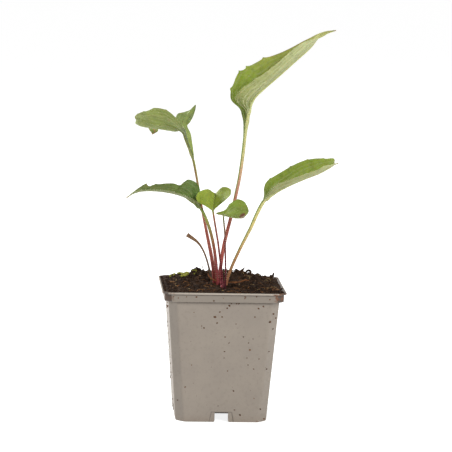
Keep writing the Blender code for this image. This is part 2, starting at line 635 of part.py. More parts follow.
    small_left = Leaf(
        "leaf_small_left", green,
        petiole=[(0.9, -1.2, 87.0), (0.5, -1.2, 96.9), (0.1, -1.6, 102.8), (-1.0, -3.0, 111.8),
                 (-2.1, -4.2, 118.6), (-3.6, -6.0, 128.4), (-5.2, -7.8, 136.7), (-6.8, -9.4, 145.0)],
        widths=(1.6, 1.5, 1.4), thickness=(1.4, 1.3, 1.2), side=(-1.0, 0.0, 0.0),
        midrib=[(-8.1, -11.0, 152.1), (-7.9, -10.5, 153.9), (-7.7, -9.7, 155.8), (-7.4, -8.4, 157.7),
                (-7.1, -6.6, 159.6), (-6.6, -4.2, 161.5), (-6.1, -1.5, 163.6)],
        near=[(-14.2, -16.5, 156.1), (-19.5, -20.0, 159.3), (-20.9, -19.5, 163.2),
              (-18.0, -15.0, 166.4), (-11.8, -7.5, 167.3)],
        far=[(-3.9, -14.0, 156.6), (0.7, -15.0, 160.4), (4.5, -13.0, 164.6), (4.0, -9.0, 168.1),
             (-1.1, -4.5, 168.6)],
        under=(0.0, 0.7, -0.7), bows=(0.07, 0.07), teeth=(0.30, 0.46, 0.62),
        tooth=(0.4, 0.4), columns=3)
    small_right = Leaf(
        "leaf_small_right", green,
        petiole=[(2.0, -9.0, 87.0), (2.2, -8.6, 93.4), (2.2, -8.6, 99.4), (2.2, -9.0, 108.3),
                 (1.6, -10.0, 123.1), (1.1, -11.0, 133.6), (0.1, -12.0, 142.5)],
        widths=(1.1, 1.1, 1.0), thickness=(1.4, 1.3, 1.2), side=toward,
        midrib=[(-0.6, -13.0, 149.3), (0.2, -13.5, 149.3), (2.0, -14.7, 149.3), (4.5, -16.3, 149.2),
                (7.0, -18.0, 149.2), (9.7, -19.8, 149.4), (12.1, -21.5, 149.4), (14.4, -23.0, 149.2)],
        near=[(-0.6, -16.5, 149.2), (1.3, -21.0, 149.3), (3.9, -25.0, 149.3), (7.0, -28.0, 149.2),
              (9.9, -28.5, 149.1), (12.5, -27.0, 148.9)],
        far=[(-5.8, -10.5, 150.2), (0.9, -8.0, 152.3), (4.9, -6.5, 157.0), (10.6, -7.5, 160.1),
             (15.2, -11.0, 158.2), (17.6, -17.0, 152.9)],
        under=(0.2, 0.3, -0.9), bows=(0.07, 0.07), teeth=(0.40, 0.56, 0.72),
        tooth=(0.5, 0.5), columns=3)
    stalk = Leaf(
        "dry_stalk", dry,
        petiole=[(-8.1, 0.4, 87.0), (-7.4, 0.8, 96.1), (-7.5, 1.0, 101.4), (-9.0, 0.5, 106.8),
                 (-10.2, 0.0, 111.3), (-11.6, -0.5, 115.7), (-13.4, -1.0, 120.2), (-15.5, -2.0, 124.0),
                 (-17.6, -3.0, 126.9), (-20.3, -4.0, 129.4), (-23.3, -5.0, 131.5),
                 (-26.3, -6.0, 133.5)],
        widths=(1.8, 1.8, 1.4, 1.3, 1.3, 1.4, 1.8, 2.5, 3.2), thickness=(1.2, 1.2, 1.0, 0.8, 0.7),
        side=(0.4, 0.0, 0.9), columns=2)
    return [tall, right, upper_left, lower_left, small_left, small_right, stalk]


def centre_box(objects):
    """Slide everything sideways, so that the finished object's box is centred on the origin."""
    bpy.context.view_layer.update()
    shown = [item for item in objects if not item.hide_render]
    xs, ys = [], []
    for item in shown:
        xs += [vert.co.x for vert in item.data.vertices]
        ys += [vert.co.y for vert in item.data.vertices]
    shift = Vector((-(min(xs) + max(xs)) / 2.0, -(min(ys) + max(ys)) / 2.0, 0.0))
    for item in objects:
        item.location = shift


def main():
    for old in list(bpy.data.objects):
        bpy.data.objects.remove(old)
    plastic = material("grey_beige_plastic", (0.36, 0.32, 0.27), 0.45)
    peat_finish = material("moist_peat", (0.030, 0.018, 0.012), 0.95)
    green = material("leaf_green", (0.16, 0.27, 0.05), 0.55)
    red = material("red_bud", (0.30, 0.05, 0.06), 0.5)
    dry = material("dry_stalk_brown", (0.20, 0.10, 0.05), 0.8)
    leaves = all_leaves(green, dry)
    for leaf in leaves:
        leaf.build(leaf.name)
    make_crown(red)
    make_peat(peat_finish, leaves)
    make_pot(plastic)
    centre_box(list(bpy.context.scene.objects))


main()
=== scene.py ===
# %% [markdown]
# # Dressing a potted coneflower
#
# The measured model holds plain solids: a square nursery pot, its peat, a crown, six leaves and a
# withered stalk. This lesson gives them their real surfaces: moulded plastic with splashes of
# soil, fibrous peat, and leaves with veins, hairs and coloured stalks. Shapes are drawn in
# millimetres about the middle of the pot's foot, as a grower would measure the plant, and move
# into the model's metres when each piece is finished.

# %% Load the measured model
import math
import random

import bmesh
import bpy
import numpy as np
from mathutils import Matrix, Vector, noise


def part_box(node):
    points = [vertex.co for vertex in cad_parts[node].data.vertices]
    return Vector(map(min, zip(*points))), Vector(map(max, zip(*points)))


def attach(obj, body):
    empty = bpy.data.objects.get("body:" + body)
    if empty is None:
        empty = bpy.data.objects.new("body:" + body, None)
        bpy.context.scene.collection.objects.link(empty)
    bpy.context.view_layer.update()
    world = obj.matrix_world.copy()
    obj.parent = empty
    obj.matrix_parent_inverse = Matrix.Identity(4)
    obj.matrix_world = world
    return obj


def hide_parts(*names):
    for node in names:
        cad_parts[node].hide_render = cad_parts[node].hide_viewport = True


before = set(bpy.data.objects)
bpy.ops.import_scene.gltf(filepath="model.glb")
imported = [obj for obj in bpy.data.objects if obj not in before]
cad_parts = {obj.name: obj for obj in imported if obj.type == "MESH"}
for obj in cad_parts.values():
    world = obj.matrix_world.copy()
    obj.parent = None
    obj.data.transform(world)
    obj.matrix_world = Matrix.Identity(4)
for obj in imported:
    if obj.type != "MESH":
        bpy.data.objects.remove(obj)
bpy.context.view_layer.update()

MM = 0.001
pot_low, pot_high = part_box("pot")
POT_MIDDLE = Vector(((pot_low.x + pot_high.x) / 2.0, (pot_low.y + pot_high.y) / 2.0, pot_low.z))
HOME = Matrix.Translation(POT_MIDDLE) @ Matrix.Scale(MM, 4)
print("pot's middle at", [round(c / MM, 2) for c in POT_MIDDLE], "mm")

# %% [markdown]
# ## The camera
#
# The picture was taken from about two metres with a long lens, a little above the rim, so the
# walls stay nearly upright and the peat shows as a narrow band. A camera is a point, a direction
# and a small roll. Writing them as distance, height angle and turn keeps them readable, and they
# were found by laying the pot's eight corners over the photograph.

# %% Place the camera
CAMERA_DISTANCE = 2.0
CAMERA_RISE = math.radians(7.14)
CAMERA_TURN = math.radians(-3.62)
CAMERA_ROLL = math.radians(1.29)
FOCAL_PIXELS = 2732.45
PICTURE_PIXELS = 452
SENSOR_MM = 36.0
AIM_RIGHT = 0.00239
AIM_UP = 0.13954

camera_back = Vector((math.sin(CAMERA_TURN) * math.cos(CAMERA_RISE),
                      -math.cos(CAMERA_TURN) * math.cos(CAMERA_RISE), math.sin(CAMERA_RISE)))
level_right = Vector((math.cos(CAMERA_TURN), math.sin(CAMERA_TURN), 0.0))
level_up = camera_back.cross(level_right)
camera_right = level_right * math.cos(CAMERA_ROLL) + level_up * math.sin(CAMERA_ROLL)
camera_up = level_up * math.cos(CAMERA_ROLL) - level_right * math.sin(CAMERA_ROLL)
camera_aim = POT_MIDDLE + Vector((0.0, 0.0, AIM_UP)) + level_right * AIM_RIGHT
camera_eye = camera_aim + camera_back * CAMERA_DISTANCE

camera = bpy.data.objects.new("camera", bpy.data.cameras.new("camera"))
bpy.context.scene.collection.objects.link(camera)
camera.matrix_world = Matrix((camera_right, camera_up, camera_back)).transposed().to_4x4()
camera.location = camera_eye
camera.data.sensor_width = SENSOR_MM
camera.data.lens = FOCAL_PIXELS * SENSOR_MM / PICTURE_PIXELS
camera.data.clip_end = 30.0
bpy.context.scene.camera = camera
print("lens", round(camera.data.lens, 1), "mm")

# %% [markdown]
# ## Colours and shader nodes
#
# A painter names a colour by its hex value, and the renderer wants linear light, so one function
# turns one into the other. Shader trees are built by one small function that adds a node, sets
# its sliders and feeds its sockets. That keeps each material readable as a list of steps.

# %% Two helpers for every material
def hex_colour(text):
    """An sRGB hex value as linear red, green, blue and alpha."""
    channels = [int(text[k:k + 2], 16) / 255.0 for k in (0, 2, 4)]
    return (*[c / 12.92 if c <= 0.04045 else ((c + 0.055) / 1.055) ** 2.4 for c in channels], 1.0)


def add(tree, kind, settings=None, links=None):
    """Add a shader node. Settings are its options, values or ramp stops; links feed its inputs."""
    node = tree.nodes.new("ShaderNode" + kind)
    for key, value in (settings or {}).items():
        if key == "stops":
            marks = node.color_ramp.elements
            while len(marks) < len(value):
                marks.new(0.5)
            for mark, (place, colour) in zip(marks, value):
                mark.position = place
                mark.color = hex_colour(colour)
        elif isinstance(key, str) and hasattr(node, key):
            setattr(node, key, value)
        else:
            node.inputs[key].default_value = hex_colour(value) if isinstance(value, str) else value
    for key, source in (links or {}).items():
        tree.links.new(source, node.inputs[key])
    return node


def new_material(name, roughness, **sockets):
    """A material with its Principled shader's constants set; returns it, its tree and shader."""
    made = bpy.data.materials.new(name)
    made.use_nodes = True
    shader = made.node_tree.nodes["Principled BSDF"]
    shader.inputs["Roughness"].default_value = roughness
    for socket, value in sockets.items():
        shader.inputs[socket.replace("_", " ")].default_value = value
    return made, made.node_tree, shader


PER_MM = 1.0 / MM
RGBA = {"data_type": "RGBA"}
SMOOTH = {"interpolation_type": "SMOOTHSTEP"}
MULTIPLY = {"operation": "MULTIPLY"}
print("plain soil is", [round(c, 3) for c in hex_colour("4E3829")[:3]], "in linear light")

# %% [markdown]
# ## The studio
#
# The plant stood in white light with no hard shadow: a large soft light behind its left, one in
# front on its right, and white all round. The pot's left wall is the brightest and the narrow
# corner between it and the front is the darkest, so the two lights leave that corner between
# them. The floor glows a little, so that it stays white right to the horizon.

# %% Light and floor
def soft_box(name, place, width, power):
    """A square studio light that faces the middle of the plant."""
    light = bpy.data.lights.new(name, "AREA")
    light.size = width
    light.energy = power
    lamp = bpy.data.objects.new(name, light)
    lamp.location = place
    aim = Vector((0.0, 0.0, 0.12)) - Vector(place)
    lamp.rotation_euler = aim.to_track_quat("-Z", "Y").to_euler()
    bpy.context.scene.collection.objects.link(lamp)


ROOM_LIGHT = 0.28
world = bpy.data.worlds.new("white_room")
world.use_nodes = True
world.node_tree.nodes["Background"].inputs["Color"].default_value = hex_colour("FFFFFF")
world.node_tree.nodes["Background"].inputs["Strength"].default_value = ROOM_LIGHT
bpy.context.scene.world = world
bpy.context.scene.view_settings.view_transform = "Standard"

soft_box("light_left", (-1.38, 1.18, 0.97), 0.9, 65.0)
soft_box("light_right", (0.87, -1.49, 1.12), 0.9, 36.0)

floor_bm = bmesh.new()
bmesh.ops.create_grid(floor_bm, x_segments=1, y_segments=1, size=20.0)
floor_mesh = bpy.data.meshes.new("floor")
floor_bm.to_mesh(floor_mesh)
floor_bm.free()
floor = bpy.data.objects.new("floor", floor_mesh)
bpy.context.scene.collection.objects.link(floor)
# Matt white paper that glows a little, so that no horizon shows
white_floor, _, floor_shader = new_material("white_paper_floor", 0.9)
floor_shader.inputs["Base Color"].default_value = hex_colour("BCBCBC")
floor_shader.inputs["Emission Color"].default_value = hex_colour("FFFFFF")
floor_shader.inputs["Emission Strength"].default_value = 0.84
floor_mesh.materials.append(white_floor)
print(len(bpy.data.lights), "soft boxes, room light", ROOM_LIGHT)

# %% [markdown]
# ## From a mesh to a piece
#
# Each piece below starts as a bmesh, Blender's editable mesh. When it is done it is scaled from
# millimetres, moved to the pot, given its material and set to ride with the model.

# %% Finish a piece
def finish_piece(bm, name, finish, stands_for=(), sharp=40.0):
    """Turn a bmesh in millimetres into a piece of the model."""
    bm.transform(HOME)
    mesh = bpy.data.meshes.new(name)
    bm.to_mesh(mesh)
    bm.free()
    finish_mesh(mesh, name, finish, stands_for, sharp)


def finish_mesh(mesh, name, finish, stands_for=(), sharp=40.0):
    """Make a mesh that is already in place a piece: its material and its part."""
    mesh.name = name
    mesh.shade_smooth()
    mesh.set_sharp_from_angle(angle=math.radians(sharp))
    mesh.materials.clear()
    mesh.materials.append(finish)
    piece = bpy.data.objects.new(name, mesh)
    bpy.context.scene.collection.objects.link(piece)
    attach(piece, "root")
    if stands_for:
        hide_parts(*stands_for)
    print(name, len(mesh.polygons), "faces")
    return piece


def point_outwards(bm):
    """Face every side of a closed shape outwards."""
    bmesh.ops.recalc_face_normals(bm, faces=bm.faces[:])
    if bm.calc_volume(signed=True) < 0.0:
        bmesh.ops.reverse_faces(bm, faces=bm.faces[:])


# %% [markdown]
# ## The pot
#
# A nursery pot is injection-moulded in polypropylene: one thin skin of even thickness, tapered so
# that it leaves the mould and nests in the next pot. Its outline is a square with cut corners.
# Such a skin could be modelled as a box and hollowed, but it is simpler to draw its outline once
# and extrude it from ring to ring: up the outside, over the lip and down the inside. The notch
# and the shallow panel round it are cut out afterwards, as the mould's inserts would leave them.

# %% The pot's sizes
POT_HEIGHT = 96.4
LIP_HALF = 45.0
BAND_HALF = 43.3
LIP_CORNER = 5.2
BODY_CORNER = 6.1
FOOT_HALF = 33.2
TOP_HALF = 40.9
WALL = 1.3
LIP_HEIGHT = 1.3
LIP_TOP = 1.4
LIP_FOOT = POT_HEIGHT - LIP_HEIGHT
LIP_SLOPE = 2.2
BAND_FOOT = 89.6
FLOOR_UNDER = 6.0
FLOOR_TOP = 9.0
FOOT_EDGE = 2.0
FOOT_ROUND = 1.4
QUARTERS = [Matrix.Rotation(k * math.pi / 2.0, 4, "Z") for k in range(4)]


def wall_half(z):
    """Half the outer width of the tapered wall at a height."""
    return FOOT_HALF + (TOP_HALF - FOOT_HALF) * z / POT_HEIGHT


def cut_square(half, corner, z, softness=1.3, steps=5):
    """A square ring with cut corners; each bend is eased by a short arc."""
    bends = []
    for turn in QUARTERS:
        bends += [turn @ Vector((half, half - corner, 0.0)), turn @ Vector((half - corner, half, 0.0))]
    ring = []
    for k, bend in enumerate(bends):
        before = (bends[k - 1] - bend).normalized() * softness
        after = (bends[(k + 1) % 8] - bend).normalized() * softness
        for step in range(steps + 1):
            t = step / steps
            point = bend + before * (1.0 - t) ** 2 + after * t ** 2
            ring.append(Vector((point.x, point.y, z)))
    return ring


def loft(bm, rings):
    """Extrude the first ring's face from ring to ring; the last face stays as the other end."""
    face = bm.faces.new([bm.verts.new(point) for point in rings[0]])
    for count, ring in enumerate(rings[1:]):
        grown = bmesh.ops.extrude_face_region(bm, geom=[face])
        if count:
            bmesh.ops.delete(bm, geom=[face], context="FACES_ONLY")
        face = next(item for item in grown["geom"] if isinstance(item, bmesh.types.BMFace))
        for vert, point in zip(face.verts, ring):
            vert.co = point
    point_outwards(bm)


print("lip", 2.0 * LIP_HALF, "mm wide, wall", WALL, "mm thick,", POT_HEIGHT, "mm tall")

# %% Draw the pot's skin
def pot_rings():
    """Rings round the skin, from the raised floor's underside out, up, over and in again."""
    inner = BODY_CORNER - 0.5
    rings = [cut_square(FOOT_HALF - FOOT_EDGE - 0.3, BODY_CORNER - 1.0, FLOOR_UNDER),
             cut_square(FOOT_HALF - FOOT_EDGE, BODY_CORNER - 1.0, 0.0)]
    for step in range(5):
        angle = step * math.pi / 8.0
        drawn_in = 0.6 * FOOT_ROUND * (1.0 - math.sin(angle))
        z = FOOT_ROUND * (1.0 - math.cos(angle))
        rings.append(cut_square(wall_half(z) - drawn_in, BODY_CORNER, z))
    rings += [
        cut_square(wall_half(BAND_FOOT - 1.2), BODY_CORNER, BAND_FOOT - 1.2),
        cut_square(wall_half(BAND_FOOT - 0.9) + 0.1, BODY_CORNER, BAND_FOOT - 0.9),
        cut_square(BAND_HALF - 0.9, LIP_CORNER + 0.6, BAND_FOOT - 0.5),
        cut_square(BAND_HALF - 0.3, LIP_CORNER + 0.3, BAND_FOOT - 0.15),
        cut_square(BAND_HALF - 0.1, LIP_CORNER + 0.1, BAND_FOOT + 0.3),
        cut_square(BAND_HALF, LIP_CORNER, LIP_FOOT - 0.6),
        cut_square(BAND_HALF + 0.2, LIP_CORNER, LIP_FOOT - 0.2),
        cut_square(LIP_HALF - 0.35, LIP_CORNER, LIP_FOOT),
    ]
    for step in range(5):
        angle = math.pi * step / 4.0
        rings.append(cut_square(LIP_HALF - 0.3 + 0.3 * math.sin(angle), LIP_CORNER,
                                POT_HEIGHT - 0.5 * LIP_HEIGHT - 0.5 * LIP_HEIGHT * math.cos(angle)))
    rings += [
        cut_square(LIP_HALF - LIP_TOP + 0.2, LIP_CORNER - 0.3, POT_HEIGHT),
        cut_square(LIP_HALF - LIP_TOP, LIP_CORNER - 0.3, POT_HEIGHT - 0.2),
        cut_square(BAND_HALF - WALL, LIP_CORNER - 0.5, POT_HEIGHT - LIP_SLOPE),
        cut_square(BAND_HALF - WALL - 0.2, LIP_CORNER - 0.5, BAND_FOOT + 0.4),
        cut_square(wall_half(BAND_FOOT) - WALL, inner, BAND_FOOT - 1.0),
        cut_square(wall_half(FLOOR_TOP) - WALL, inner, FLOOR_TOP),
    ]
    return rings


pot_bm = bmesh.new()
loft(pot_bm, pot_rings())
print("pot skin", len(pot_bm.faces), "faces,", round(pot_bm.calc_volume() / 1000.0, 1), "cm3")

# %% [markdown]
# A notch in the foot of each side lets water run away, and a shallow panel frames it. Both are
# cut with solids that a Boolean takes away. The cutters are plain extrusions of their outlines,
# and a shear leans the panel's with the tapered wall, so that the cut is equally shallow all over.

# %% The sizes of the notches, panels and drain holes
NOTCH_HALF = 4.9
NOTCH_TOP = 7.3
NOTCH_FLARE = 1.3
NOTCH_DEPTH = 2.8
PANEL_TOP_HALF = 7.4
PANEL_FOOT_HALF = 9.0
PANEL_TOP = 7.6
PANEL_DEPTH = 0.35
DRAIN_SPREAD = 19.0
DRAIN_RADIUS = 3.5


def notch_outline():
    """Half a notch from its top corner to the ground, mirrored: square above, flared below."""
    side = [(NOTCH_HALF - 0.5, NOTCH_TOP), (NOTCH_HALF - 0.15, NOTCH_TOP - 0.15),
            (NOTCH_HALF, NOTCH_TOP - 0.5)]
    for step in range(6):
        angle = step * math.pi / 10.0
        side.append((NOTCH_HALF + NOTCH_FLARE * (1.0 - math.cos(angle)),
                     NOTCH_FLARE * (1.0 - math.sin(angle))))
    side.append((NOTCH_HALF + NOTCH_FLARE, -1.0))
    return side + [(-x, z) for x, z in reversed(side)]


print(len(notch_outline()), "points round a notch")

# %% Helpers that make a cutter and cut with it
def extruded(bm, outline, y_from, y_to, turn):
    """Extrude an outline in x and z along y, and turn it by a matrix."""
    face = bm.faces.new([bm.verts.new((x, y_from, z)) for x, z in outline])
    grown = bmesh.ops.extrude_face_region(bm, geom=[face])
    moved = [item for item in grown["geom"] if isinstance(item, bmesh.types.BMVert)]
    bmesh.ops.translate(bm, verts=moved, vec=(0.0, y_to - y_from, 0.0))
    bmesh.ops.transform(bm, matrix=turn, verts=moved + list(face.verts))


def cutter_object(bm, name):
    """Make a loose object that only serves to cut another."""
    point_outwards(bm)
    mesh = bpy.data.meshes.new(name)
    bm.to_mesh(mesh)
    bm.free()
    cutter = bpy.data.objects.new(name, mesh)
    bpy.context.scene.collection.objects.link(cutter)
    return cutter


def cut_away(target, cutters):
    """Take the cutters out of the target for good, then drop them."""
    for cutter in cutters:
        cut = target.modifiers.new("cut", "BOOLEAN")
        cut.operation = "DIFFERENCE"
        cut.solver = "EXACT"
        cut.object = cutter
    bpy.context.view_layer.update()
    seen = target.evaluated_get(bpy.context.evaluated_depsgraph_get())
    mesh = bpy.data.meshes.new_from_object(seen)
    for old in (target, *cutters):
        bpy.data.objects.remove(old)
    print(len(cutters), "cutters used")
    return mesh


# %% Cut the notches, panels and drain holes
cutters = []
for turn in QUARTERS:
    notch_bm = bmesh.new()
    extruded(notch_bm, notch_outline(), -LIP_HALF, NOTCH_DEPTH - FOOT_HALF, turn)
    cutters.append(cutter_object(notch_bm, "notch_cutter"))
panel_outline = [(-PANEL_FOOT_HALF, -1.0), (PANEL_FOOT_HALF, -1.0),
                 (PANEL_TOP_HALF, PANEL_TOP), (-PANEL_TOP_HALF, PANEL_TOP)]
wall_lean = Matrix.Shear("XY", 4, (0.0, -(wall_half(PANEL_TOP) - wall_half(0.0)) / PANEL_TOP))
for turn in QUARTERS:
    panel_bm = bmesh.new()
    extruded(panel_bm, panel_outline, -wall_half(0.0) - 5.0, -wall_half(0.0) + PANEL_DEPTH,
             turn @ wall_lean)
    cutters.append(cutter_object(panel_bm, "panel_cutter"))
drain_bm = bmesh.new()
for row in (-1, 0, 1):
    for column in (-1, 0, 1):
        bmesh.ops.create_cone(drain_bm, cap_ends=True, segments=24, radius1=DRAIN_RADIUS,
                              radius2=DRAIN_RADIUS, depth=5.0,
                              matrix=Matrix.Translation((row * DRAIN_SPREAD, column * DRAIN_SPREAD,
                                                         0.5 * (FLOOR_UNDER + FLOOR_TOP))))
cutters.append(cutter_object(drain_bm, "drain_cutter"))
pot_mesh = cut_away(cutter_object(pot_bm, "pot_blank"), cutters)
print("pot after cutting", len(pot_mesh.polygons), "faces")

# %% [markdown]
# ## Moulded plastic
#
# The pot is polypropylene with a grey-beige pigment, moulded against a steel wall with a fine
# matt texture. It gives a soft, broad highlight and no clear reflection. Handling and watering
# leave it blotched, with brown specks of peat that dried on it. Its lip is tinted pale as a
# painted highlight, and a dark line of painted shade mixed with dirt lies under the lip and the
# band. One picture wrapped round the pot could hold all of it. Here each kind of wear, and each
# painted highlight and shade, is a tint with a few masks instead, numbers from 0 to 1 that say
# where it lies, so each can be changed by itself.

# %% Where a point lies on the pot
pot_plastic, tree, shader = new_material("moulded_polypropylene", 0.5, Specular_IOR_Level=0.42)
place = add(tree, "TexCoord").outputs["Object"]
centred = add(tree, "Mapping", {1: tuple(-c for c in POT_MIDDLE)}, {0: place}).outputs[0]
side_x, side_y, height = add(tree, "SeparateXYZ", None, {0: centred}).outputs
# How far out a point lies from the middle: towards a side, towards a corner, along a side
out_x, out_y = [add(tree, "Math", {"operation": "ABSOLUTE"}, {0: side}).outputs[0]
                for side in (side_x, side_y)]
sideways, cornered, across = [
    add(tree, "Math", {"operation": kind}, {0: out_x, 1: out_y}).outputs[0]
    for kind in ("MAXIMUM", "ADD", "MINIMUM")]
# Slow blotches in the pigment, and finer grime noise that breaks up the dust, dirt and painted shade
clouds = add(tree, "TexNoise", {"Scale": PER_MM / 16.0, "Detail": 3.0}, {0: place}).outputs[0]
colour = add(tree, "ValToRGB", {"stops": ((0.3, "7A7167"), (0.7, "7F766B"))}, {0: clouds}).outputs[0]
grime_and_shade_noise = add(tree, "TexNoise", {"Scale": PER_MM / 2.4, "Detail": 4.0, "Roughness": 0.65}, {0: place})
print(len(tree.nodes), "nodes measure the place and its dirt")

# %% [markdown]
# Each row below is a tint, its strength and its masks, which are multiplied. Dust lies in small
# clouds. The band is tinted darker than the wall, and the lip is tinted pale: a painted highlight.
# Below the lip and under the band lie dark lines of painted shade mixed with dirt, and dirt lies
# round the foot: each rises up to its height and stops there, and the grime noise breaks it up.

# %% Dust, a painted highlight on the lip, and painted shade and dirt
wear_and_painted_light = [
    ("6B6257", 0.35, [add(tree, "MapRange", {**SMOOTH, 1: 0.5, 2: 0.75}, {0: grime_and_shade_noise.outputs[0]})]),
    # The band is tinted darker than the wall below it
    ("736B61", 0.8, [add(tree, "MapRange", {**SMOOTH, 1: (BAND_FOOT - 0.3) * MM,
                                            2: (BAND_FOOT + 0.3) * MM}, {0: height})]),
    # The lip above its foot is tinted pale: a painted highlight
    ("A0968A", 0.75, [add(tree, "MapRange", {**SMOOTH, 1: LIP_FOOT * MM, 2: (LIP_FOOT + 0.3) * MM},
                          {0: height})]),
]
# Dark lines of painted shade mixed with dirt under the lip and under the band, then dirt round the
# foot
for low, high, strength, tint in ((LIP_FOOT - 1.2, LIP_FOOT, 1.9, "41362D"),
                                  (BAND_FOOT - 2.4, BAND_FOOT - 0.1, 1.3, "3C332B"),
                                  (7.0, -0.1, 0.4, "6B5846")):
    rise = add(tree, "MapRange", {**SMOOTH, 1: low * MM, 2: high * MM}, {0: height})
    stop = add(tree, "Math", {"operation": "LESS_THAN", 1: max(high, low) * MM}, {0: height})
    wear_and_painted_light.append((tint, strength, [rise, stop, grime_and_shade_noise]))
print(len(wear_and_painted_light), "tints of dust, handling and dirt")

# %% [markdown]
# Fine specks of dried peat are spots round the points of some Voronoi cells. The peat stains the
# inside dark, up to the edge of the lip, and soil has run over the lip at the corners, less on the
# left.

# %% Specks and stains
cells = add(tree, "TexVoronoi", {"Scale": PER_MM / 2.6}, {0: place})
spot = add(tree, "MapRange", {**SMOOTH, 1: 0.13, 2: 0.08}, {0: cells.outputs["Distance"]})
chance = add(tree, "SeparateColor", None, {0: cells.outputs["Color"]}).outputs[0]
chosen = add(tree, "Math", {"operation": "GREATER_THAN", 1: 0.86}, {0: chance})
wear_and_painted_light.append(("5B4D40", 1.0, [spot, chosen]))

limit = add(tree, "MapRange", {1: (POT_HEIGHT - 1.7) * MM, 2: (POT_HEIGHT - 1.3) * MM,
                               3: (BAND_HALF - 0.45) * MM, 4: (LIP_HALF - 0.9) * MM}, {0: height})
inside = add(tree, "Math", {"operation": "LESS_THAN"}, {0: sideways, 1: limit.outputs[0]})
above = add(tree, "Math", {"operation": "GREATER_THAN", 1: BAND_FOOT * MM}, {0: height})
wear_and_painted_light.append(("382D24", 0.92, [inside, above]))

band_corner = 2.0 * BAND_HALF - LIP_CORNER
corner_zone = add(tree, "MapRange", {**SMOOTH, 1: (band_corner - 3.5) * MM,
                                     2: (band_corner - 0.5) * MM}, {0: cornered})
rim_zone = add(tree, "MapRange", {**SMOOTH, 1: (BAND_FOOT - 2.0) * MM, 2: (BAND_FOOT + 2.0) * MM},
               {0: height})
less = add(tree, "MapRange", {1: -30.0 * MM, 2: 0.0, 3: 0.4, 4: 1.0}, {0: side_x})
runs = add(tree, "MapRange", {**SMOOTH, 1: 0.46, 2: 0.54}, {0: grime_and_shade_noise.outputs[0]})
wear_and_painted_light.append(("5E3A22", 0.95, [corner_zone, rim_zone, less, runs]))
print("corner stains from", round(band_corner - 3.5, 1), "mm out")

# %% [markdown]
# The shallow panel round each notch shows by a dark line of painted shade along its edge: a
# slanted line on either side, which stops at the panel's top, and a level line between them. Under
# its floor the inside of the foot is tinted near black: painted shade.

# %% Painted shade round the panels and under the floor
LINE_HALF = 0.3
lean = (PANEL_FOOT_HALF - PANEL_TOP_HALF) / PANEL_TOP
slant = add(tree, "Math", {"operation": "MULTIPLY_ADD", 1: lean}, {0: height, 2: across})
lines = []
for kind, at, value, stop, limit in (
        ("slanted", PANEL_FOOT_HALF, slant.outputs[0], PANEL_TOP + LINE_HALF, height),
        ("level", PANEL_TOP, height, PANEL_TOP_HALF, across)):
    line = add(tree, "Math", {"operation": "COMPARE", 1: at * MM, 2: LINE_HALF * MM}, {0: value})
    end = add(tree, "Math", {"operation": "LESS_THAN", 1: stop * MM}, {0: limit})
    lines.append(add(tree, "Math", MULTIPLY, {0: line.outputs[0], 1: end.outputs[0]}).outputs[0])
    print(kind, "line at", at, "mm")
panel_edge = add(tree, "Math", {"operation": "MAXIMUM"}, {0: lines[0], 1: lines[1]})
# The panel's edge is tinted dark: painted shade
wear_and_painted_light.append(("4A4239", 0.55, [panel_edge]))

# Inside the foot, under the floor, everything is tinted near black: painted shade
foot_inside = FOOT_HALF - WALL + 0.1
wear_and_painted_light.append(("1C211D", 0.95, [
    add(tree, "Math", {"operation": "LESS_THAN", 1: stop * MM}, {0: value})
    for value, stop in ((sideways, foot_inside), (cornered, 2.0 * foot_inside - BODY_CORNER),
                        (height, FLOOR_UNDER + 0.6))]))

# %% Lay the wear, the painted highlight and the painted shade over the plastic
# The strength times each mask in turn is the share of the tint that covers what lies below it
for tint, strength, masks in wear_and_painted_light:
    share = {}
    for mask in masks:
        share = {0: add(tree, "Math", {**MULTIPLY, 0: strength},
                        {**share, 1: mask.outputs[0]}).outputs[0]}
    colour = add(tree, "Mix", {**RGBA, 7: tint}, {**share, 6: colour}).outputs[2]
tree.links.new(colour, shader.inputs["Base Color"])
gloss = add(tree, "MapRange", {1: 0.3, 2: 0.7, 3: 0.42, 4: 0.6}, {0: grime_and_shade_noise.outputs[0]}).outputs[0]
tree.links.new(gloss, shader.inputs["Roughness"])
grain = add(tree, "TexNoise", {"Scale": PER_MM / 0.7, "Detail": 2.0}, {0: place}).outputs[0]
bump = add(tree, "Bump", {"Strength": 0.12, "Distance": 0.1 * MM}, {"Height": grain})
tree.links.new(bump.outputs[0], shader.inputs["Normal"])
print(len(wear_and_painted_light), "layers of wear,", len(tree.nodes), "nodes")

# %% Finish the pot, with the small rounding that a mould leaves
pot = finish_mesh(pot_mesh, "moulded_pot", pot_plastic, ("pot",), 30.0)
pot.data.transform(HOME)
rounding = pot.modifiers.new("mould_edge", "BEVEL")
rounding.width = 0.14 * MM
rounding.segments = 2
rounding.limit_method = "ANGLE"
rounding.angle_limit = math.radians(38.0)
print("edges rounded by", round(rounding.width / MM, 2), "mm")

# %% [markdown]
# ## Dry, crumbly things
#
# Dried soil, peat crumbs, bark, moss and fibres are matt, and each bit has its own tone. A noise
# a few millimetres wide, read through a ramp of the real one's tints, gives neighbouring bits
# different tones. A finer noise roughens them, drawn coarser than real grit so that it can show.
# The rough balls that many of them start from also share one helper: a ball dented by noise.

# %% Helpers for loose bits
GRIT = (0.5, 3.0, 0.6, 0.2)


